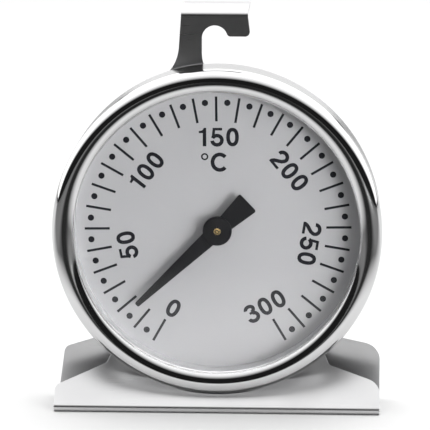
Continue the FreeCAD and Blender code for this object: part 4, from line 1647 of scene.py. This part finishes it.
# ---- Pointer -------------------------------------------------------------------------------
@dataclass
class Pointer:
    """The black pointer, its hub and the brass arbor's end."""

    place: DialPlace
    angle: float = 226.5
    length: float = 20.4
    root_half: float = 1.55
    tip_half: float = 0.45
    tail: float = 7.7
    tail_root_half: float = 1.3
    tail_half: float = 2.2
    tail_corner: float = 0.35
    edge: float = 0.06
    hub_round: float = 0.15
    boss_radius: float = 1.3
    boss_front: float = 6.85
    arbor_radius: float = 0.65
    fit: float = 0.01
    pivot_radius: float = 0.4
    body_rear: float = 1.15
    groove: tuple[float, float, float] = (5.125, 5.415, 0.45)
    chamfer: float = 0.2

    def outline(self, inset: float) -> list[Outline]:
        """The blade's outline at the rest angle, moved in by an amount.

        Args:
            inset: how far the outline is moved in.

        Returns:
            The needle with its tail, and the round middle.
        """
        turn = math.radians(self.angle)
        along = Vector((math.sin(turn), math.cos(turn)))
        side = Vector((math.cos(turn), -math.sin(turn)))
        corners = [
            (0.0, self.root_half, 0.0),
            (self.length, self.tip_half, 0.6 * self.tip_half),
            (self.length, -self.tip_half, 0.6 * self.tip_half),
            (0.0, -self.root_half, 0.0),
            (0.0, -self.tail_root_half, 0.0),
            (-self.tail, -self.tail_half, self.tail_corner),
            (-self.tail, self.tail_half, self.tail_corner),
            (0.0, self.tail_root_half, 0.0),
        ]
        flat = rounded(corners)
        directions = outward_directions(flat)
        needle = []
        for (reach, width), out in zip(flat, directions):
            moved = along * (reach - out.x * inset) + side * (width - out.y * inset)
            needle.append(tuple(moved))
        return [needle, circle((0.0, 0.0), radius_of("pointer_hub") - inset, 96)]

    def build_blade(self, material: bpy.types.Material) -> bpy.types.Object:
        """Make the flat blade.

        Args:
            material: the pointer's paint.

        Returns:
            The blade.
        """
        rear, front = depth_span(self.place, "pointer_blade")
        made = bmesh.new()
        hole = circle((0.0, 0.0), self.boss_radius + self.fit, 48)
        slab(made, self.outline(0.0), [hole], self.place.point, rear, front)
        bmesh.ops.recalc_face_normals(made, faces=made.faces)
        bmesh.ops.dissolve_limit(
            made, angle_limit=math.radians(1.0), verts=made.verts, edges=made.edges)
        crisp = [edge for edge in made.edges if edge.calc_face_angle(0.0) > math.radians(60.0)
                 and all((vertex.co - self.place.point(0.0, 0.0, 0.0)).xz.length > 2.0 * MM
                         for vertex in edge.verts)
                 and abs(edge.verts[0].co.y - edge.verts[1].co.y) < 1e-7]
        bmesh.ops.bevel(
            made, geom=crisp, offset=self.edge * MM, segments=2, profile=0.5, affect="EDGES",
            clamp_overlap=True)
        blade = shaded("pointer_blade_painted", made, material)
        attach(blade, Body.POINTER.value)
        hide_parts("pointer_blade")
        return blade

    def build_hub(self, material: bpy.types.Material) -> bpy.types.Object:
        """Make the hub's cap and boss.

        Args:
            material: the pointer's paint.

        Returns:
            The hub.
        """
        rear, front = depth_span(self.place, "pointer_hub")
        radius = radius_of("pointer_hub")
        bore = self.arbor_radius + self.fit
        section = rounded([
            (bore, rear, 0.0),
            (self.boss_radius, rear, 0.0),
            (self.boss_radius, self.boss_front, 0.0),
            (radius, self.boss_front, 0.05),
            (radius, front, self.hub_round),
            (bore, front, 0.04),
        ], 11.25)
        hub = spun("pointer_hub_painted", section, self.place, material, steps=128)
        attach(hub, Body.POINTER.value)
        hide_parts("pointer_hub")
        return hub

    def build_arbor(self, material: bpy.types.Material) -> bpy.types.Object:
        """Make the arbor with its turned end and centre mark.

        Args:
            material: the brass.

        Returns:
            The arbor.
        """
        rear, front = depth_span(self.place, "arbor")
        groove_rear, groove_front, groove_radius = self.groove
        section = rounded([
            (0.0, rear, 0.0),
            (self.pivot_radius, rear, 0.05),
            (self.pivot_radius, self.body_rear, 0.0),
            (self.arbor_radius, self.body_rear, 0.0),
            (self.arbor_radius, groove_rear, 0.0),
            (groove_radius, groove_rear, 0.0),
            (groove_radius, groove_front, 0.0),
            (self.arbor_radius, groove_front, 0.0),
            (self.arbor_radius, front - self.chamfer, 0.1),
            (self.arbor_radius - self.chamfer, front, 0.05),
            (0.16, front, 0.03),
            (0.0, front - 0.16, 0.0),
        ], 15.0)
        arbor = spun("arbor_turned", section, self.place, material, steps=64)
        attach(arbor, Body.POINTER.value)
        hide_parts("arbor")
        return arbor


# ---- Movement ------------------------------------------------------------------------------
@dataclass
class Movement:
    """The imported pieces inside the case, which keep their shape and get a finish."""

    finishes: dict[str, str] = field(default_factory=lambda: {
        "dial_seat_ring": "ring_aluminium",
        "lens_gasket": "gasket_rubber",
        "rear_bushing": "movement_brass",
        "movement_bridge": "movement_brass",
        "bridge_rivets": "rivet_steel",
        "front_bushing": "movement_brass",
        "anchor_stud": "movement_brass",
        "bimetal_coil": "coil_bimetal",
        "coil_collet": "movement_brass",
        "rear_washer": "rivet_steel",
        "front_washer": "rivet_steel",
        "retaining_clip": "rivet_steel",
    })

    def dress(self, materials: dict[str, bpy.types.Material]) -> list[str]:
        """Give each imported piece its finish.

        Args:
            materials: every finish by name.

        Returns:
            The names of the dressed pieces.
        """
        for node, finish in self.finishes.items():
            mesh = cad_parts[node].data
            mesh.materials.clear()
            mesh.materials.append(materials[finish])
        return list(self.finishes)


# ---- Studio --------------------------------------------------------------------------------
@dataclass
class Studio:
    """A pale floor, soft light and the camera."""

    place: DialPlace
    distance: float = 0.650
    azimuth: float = 2.5
    elevation: float = 12.4
    roll: float = 0.0
    frame_width: float = 430.0
    sensor: float = 36.0
    focal_frames: float = 3555.5
    aim: Point = (217.97, 227.40)
    dial_depth: float = 4.2
    floor_half: float = 1.5
    floor_shade: float = 0.64
    # floor_near, floor_side and floor_far are the floor's colour in reflections only, a painted
    # reflection shade: floor_near close to and behind the object, falling in front to floor_far
    # straight ahead and floor_side off to the sides.
    floor_near: float = 0.50
    floor_side: float = 0.12
    floor_far: float = 0.008

    def build_camera(self) -> bpy.types.Object:
        """Place the camera so that the dial's centre falls where it should in the frame."""
        target = self.place.point(0.0, 0.0, self.dial_depth)
        turn, tilt, lean = (math.radians(v) for v in (self.azimuth, self.elevation, self.roll))
        back = Vector((
            math.sin(turn) * math.cos(tilt), -math.cos(turn) * math.cos(tilt), math.sin(tilt)))
        level = Vector((math.cos(turn), math.sin(turn), 0.0))
        upright = level.cross(-back)
        right = level * math.cos(lean) + upright * math.sin(lean)
        up = upright * math.cos(lean) - level * math.sin(lean)
        middle = self.frame_width / 2.0
        across = (self.aim[0] - middle) / self.focal_frames
        above = -(self.aim[1] - middle) / self.focal_frames
        look = (-back - right * across - up * above).normalized()
        right = (right - look * right.dot(look)).normalized()
        up = right.cross(look)
        data = bpy.data.cameras.new("camera")
        data.sensor_width = self.sensor
        data.lens = self.focal_frames / self.frame_width * self.sensor
        data.clip_start = 0.01
        data.clip_end = 20.0
        camera = bpy.data.objects.new("camera", data)
        turned = Matrix((right, up, -look)).transposed().to_4x4()
        camera.matrix_world = Matrix.Translation(target + back * self.distance) @ turned
        bpy.context.scene.collection.objects.link(camera)
        bpy.context.scene.camera = camera
        return camera

    def build_floor(self) -> bpy.types.Object:
        """Lay the pale floor. In reflections its colour is painted darker in front of and beside
        the object, a painted reflection of a dark surround.
        """
        half = self.floor_half
        mesh = bpy.data.meshes.new("floor")
        corners = [(-half, -half, 0.0), (half, -half, 0.0), (half, half, 0.0), (-half, half, 0.0)]
        mesh.from_pydata([(x, y, -2e-5) for x, y, _ in corners], [], [(0, 1, 2, 3)])
        material, wiring, shader = open_material("pale_floor")
        # For glossy rays the floor's colour is a painted reflection shade that darkens in front of
        # the object; other rays see the plain floor_shade tone.
        path = wiring.node("ShaderNodeLightPath").outputs["Is Glossy Ray"]
        place = wiring.node("ShaderNodeTexCoord").outputs["Object"]
        split = wiring.node("ShaderNodeSeparateXYZ", {0: place})
        reach = wiring.node("ShaderNodeVectorMath", {0: place}, operation="LENGTH").outputs["Value"]
        far = wiring.spread(reach, 0.06, 0.12, 0.0, 1.0)
        ahead = wiring.spread(split.outputs["Y"], -0.05, 0.06, 1.0, 0.0)
        away = wiring.maths("ABSOLUTE", split.outputs["X"])
        side = wiring.spread(away, 0.04, 0.12, self.floor_far, self.floor_side)
        share = wiring.maths("MULTIPLY", far, ahead)
        front = wiring.spread(share, 0.0, 1.0, self.floor_near, side)
        painted_reflection = wiring.maths("MULTIPLY", front, path)
        plain = wiring.spread(path, 0.0, 1.0, self.floor_shade, 0.0)
        wiring.feed(shader.inputs["Base Color"], wiring.maths("ADD", painted_reflection, plain))
        shader.inputs["Roughness"].default_value = 0.9
        shader.inputs["Specular IOR Level"].default_value = 0.1
        floor = new_object("floor", mesh, material)
        return floor

    def build_light(self) -> None:
        """Hang the soft lights and set what the metal reflects."""
        self.area("overhead", (0.05, 0.02, 0.75), (0.0, 0.0, 0.03), 0.9, 5.6)
        self.area("right_fill", (0.30, -0.50, 0.03), (0.0, 0.0, 0.033), 0.18, 3.0)
        self.area("front_fill", (-0.15, -0.75, 0.35), (0.0, 0.0, 0.03), 0.50, 0.5)
        world = bpy.data.worlds.new("studio")
        bpy.context.scene.world = world
        world.use_nodes = True
        wiring = Wiring(world.node_tree)
        direction = wiring.node("ShaderNodeTexCoord").outputs["Generated"]
        split = wiring.node("ShaderNodeSeparateXYZ", {0: direction})
        ahead = wiring.maths("MULTIPLY", split.outputs["Y"], -1.0)
        lift = wiring.maths("ARCTAN2", split.outputs["Z"], ahead)
        climb = wiring.spread(lift, math.radians(36.0), math.radians(61.0), 0.012, 1.0)
        over = wiring.spread(lift, math.radians(64.0), math.radians(84.0), 0.0, 0.4)
        glow = wiring.maths("ADD", climb, over)
        seen = wiring.node("ShaderNodeLightPath").outputs["Is Camera Ray"]
        strength = wiring.maths("MAXIMUM", wiring.maths("MULTIPLY", seen, 1.1), glow)
        background = wiring.node("ShaderNodeBackground", {"Strength": strength})
        wiring.node("ShaderNodeOutputWorld", {"Surface": background.outputs[0]})
        background.inputs["Color"].default_value = (1.0, 1.0, 1.0, 1.0)
        bpy.context.scene.view_settings.view_transform = "Standard"

    @staticmethod
    def area(
        name: str, spot: Sequence[float], aim: Sequence[float], size: float, power: float
    ) -> None:
        """Add one soft square light.

        Args:
            name: the light's name.
            spot: where it hangs, in metres.
            aim: where it points, in metres.
            size: the length of its side.
            power: its power in watts.
        """
        data = bpy.data.lights.new(name, "AREA")
        data.size = size
        data.energy = power
        light = bpy.data.objects.new(name, data)
        light.visible_glossy = False
        light.location = spot
        light.rotation_mode = "QUATERNION"
        light.rotation_quaternion = (Vector(aim) - Vector(spot)).to_track_quat("-Z", "Y")
        bpy.context.scene.collection.objects.link(light)


def main() -> None:
    """Build every piece in order and report it."""
    logging.basicConfig(level=logging.INFO, format="%(message)s")
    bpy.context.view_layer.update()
    place = DialPlace.from_frame()
    effects = Effects(place)
    materials = {finish.name: finish.make(effects) for finish in FINISHES}
    pieces = [Stand(place).build(materials["stand_steel"])]
    case = Case(place)
    pieces.append(case.build_cup(materials["case_steel"]))
    pieces.append(case.build_rivets(materials["rivet_steel"]))
    bezel = Bezel(place)
    pieces.append(bezel.build_ring(materials["bezel_steel"]))
    pieces.append(bezel.build_spacer(materials["ring_aluminium"]))
    pieces.append(bezel.build_glass(materials["lens_glass"]))
    dial = Dial(place)
    pieces.append(dial.build_plate(materials["dial_face"]))
    pieces += dial.build_marks(materials["dial_ink"])
    pieces.append(dial.build_numerals(materials["dial_ink"]))
    pointer = Pointer(place)
    pieces.append(pointer.build_blade(materials["pointer_black"]))
    pieces.append(pointer.build_hub(materials["pointer_black"]))
    pieces.append(pointer.build_arbor(materials["movement_brass"]))
    for piece in pieces:
        LOG.info("%s: %d faces", piece.name, len(piece.data.polygons))
    for node in Movement().dress(materials):
        LOG.info("%s: dressed", node)
    studio = Studio(place)
    studio.build_floor()
    studio.build_light()
    studio.build_camera()


if __name__ == "__main__":
    main()
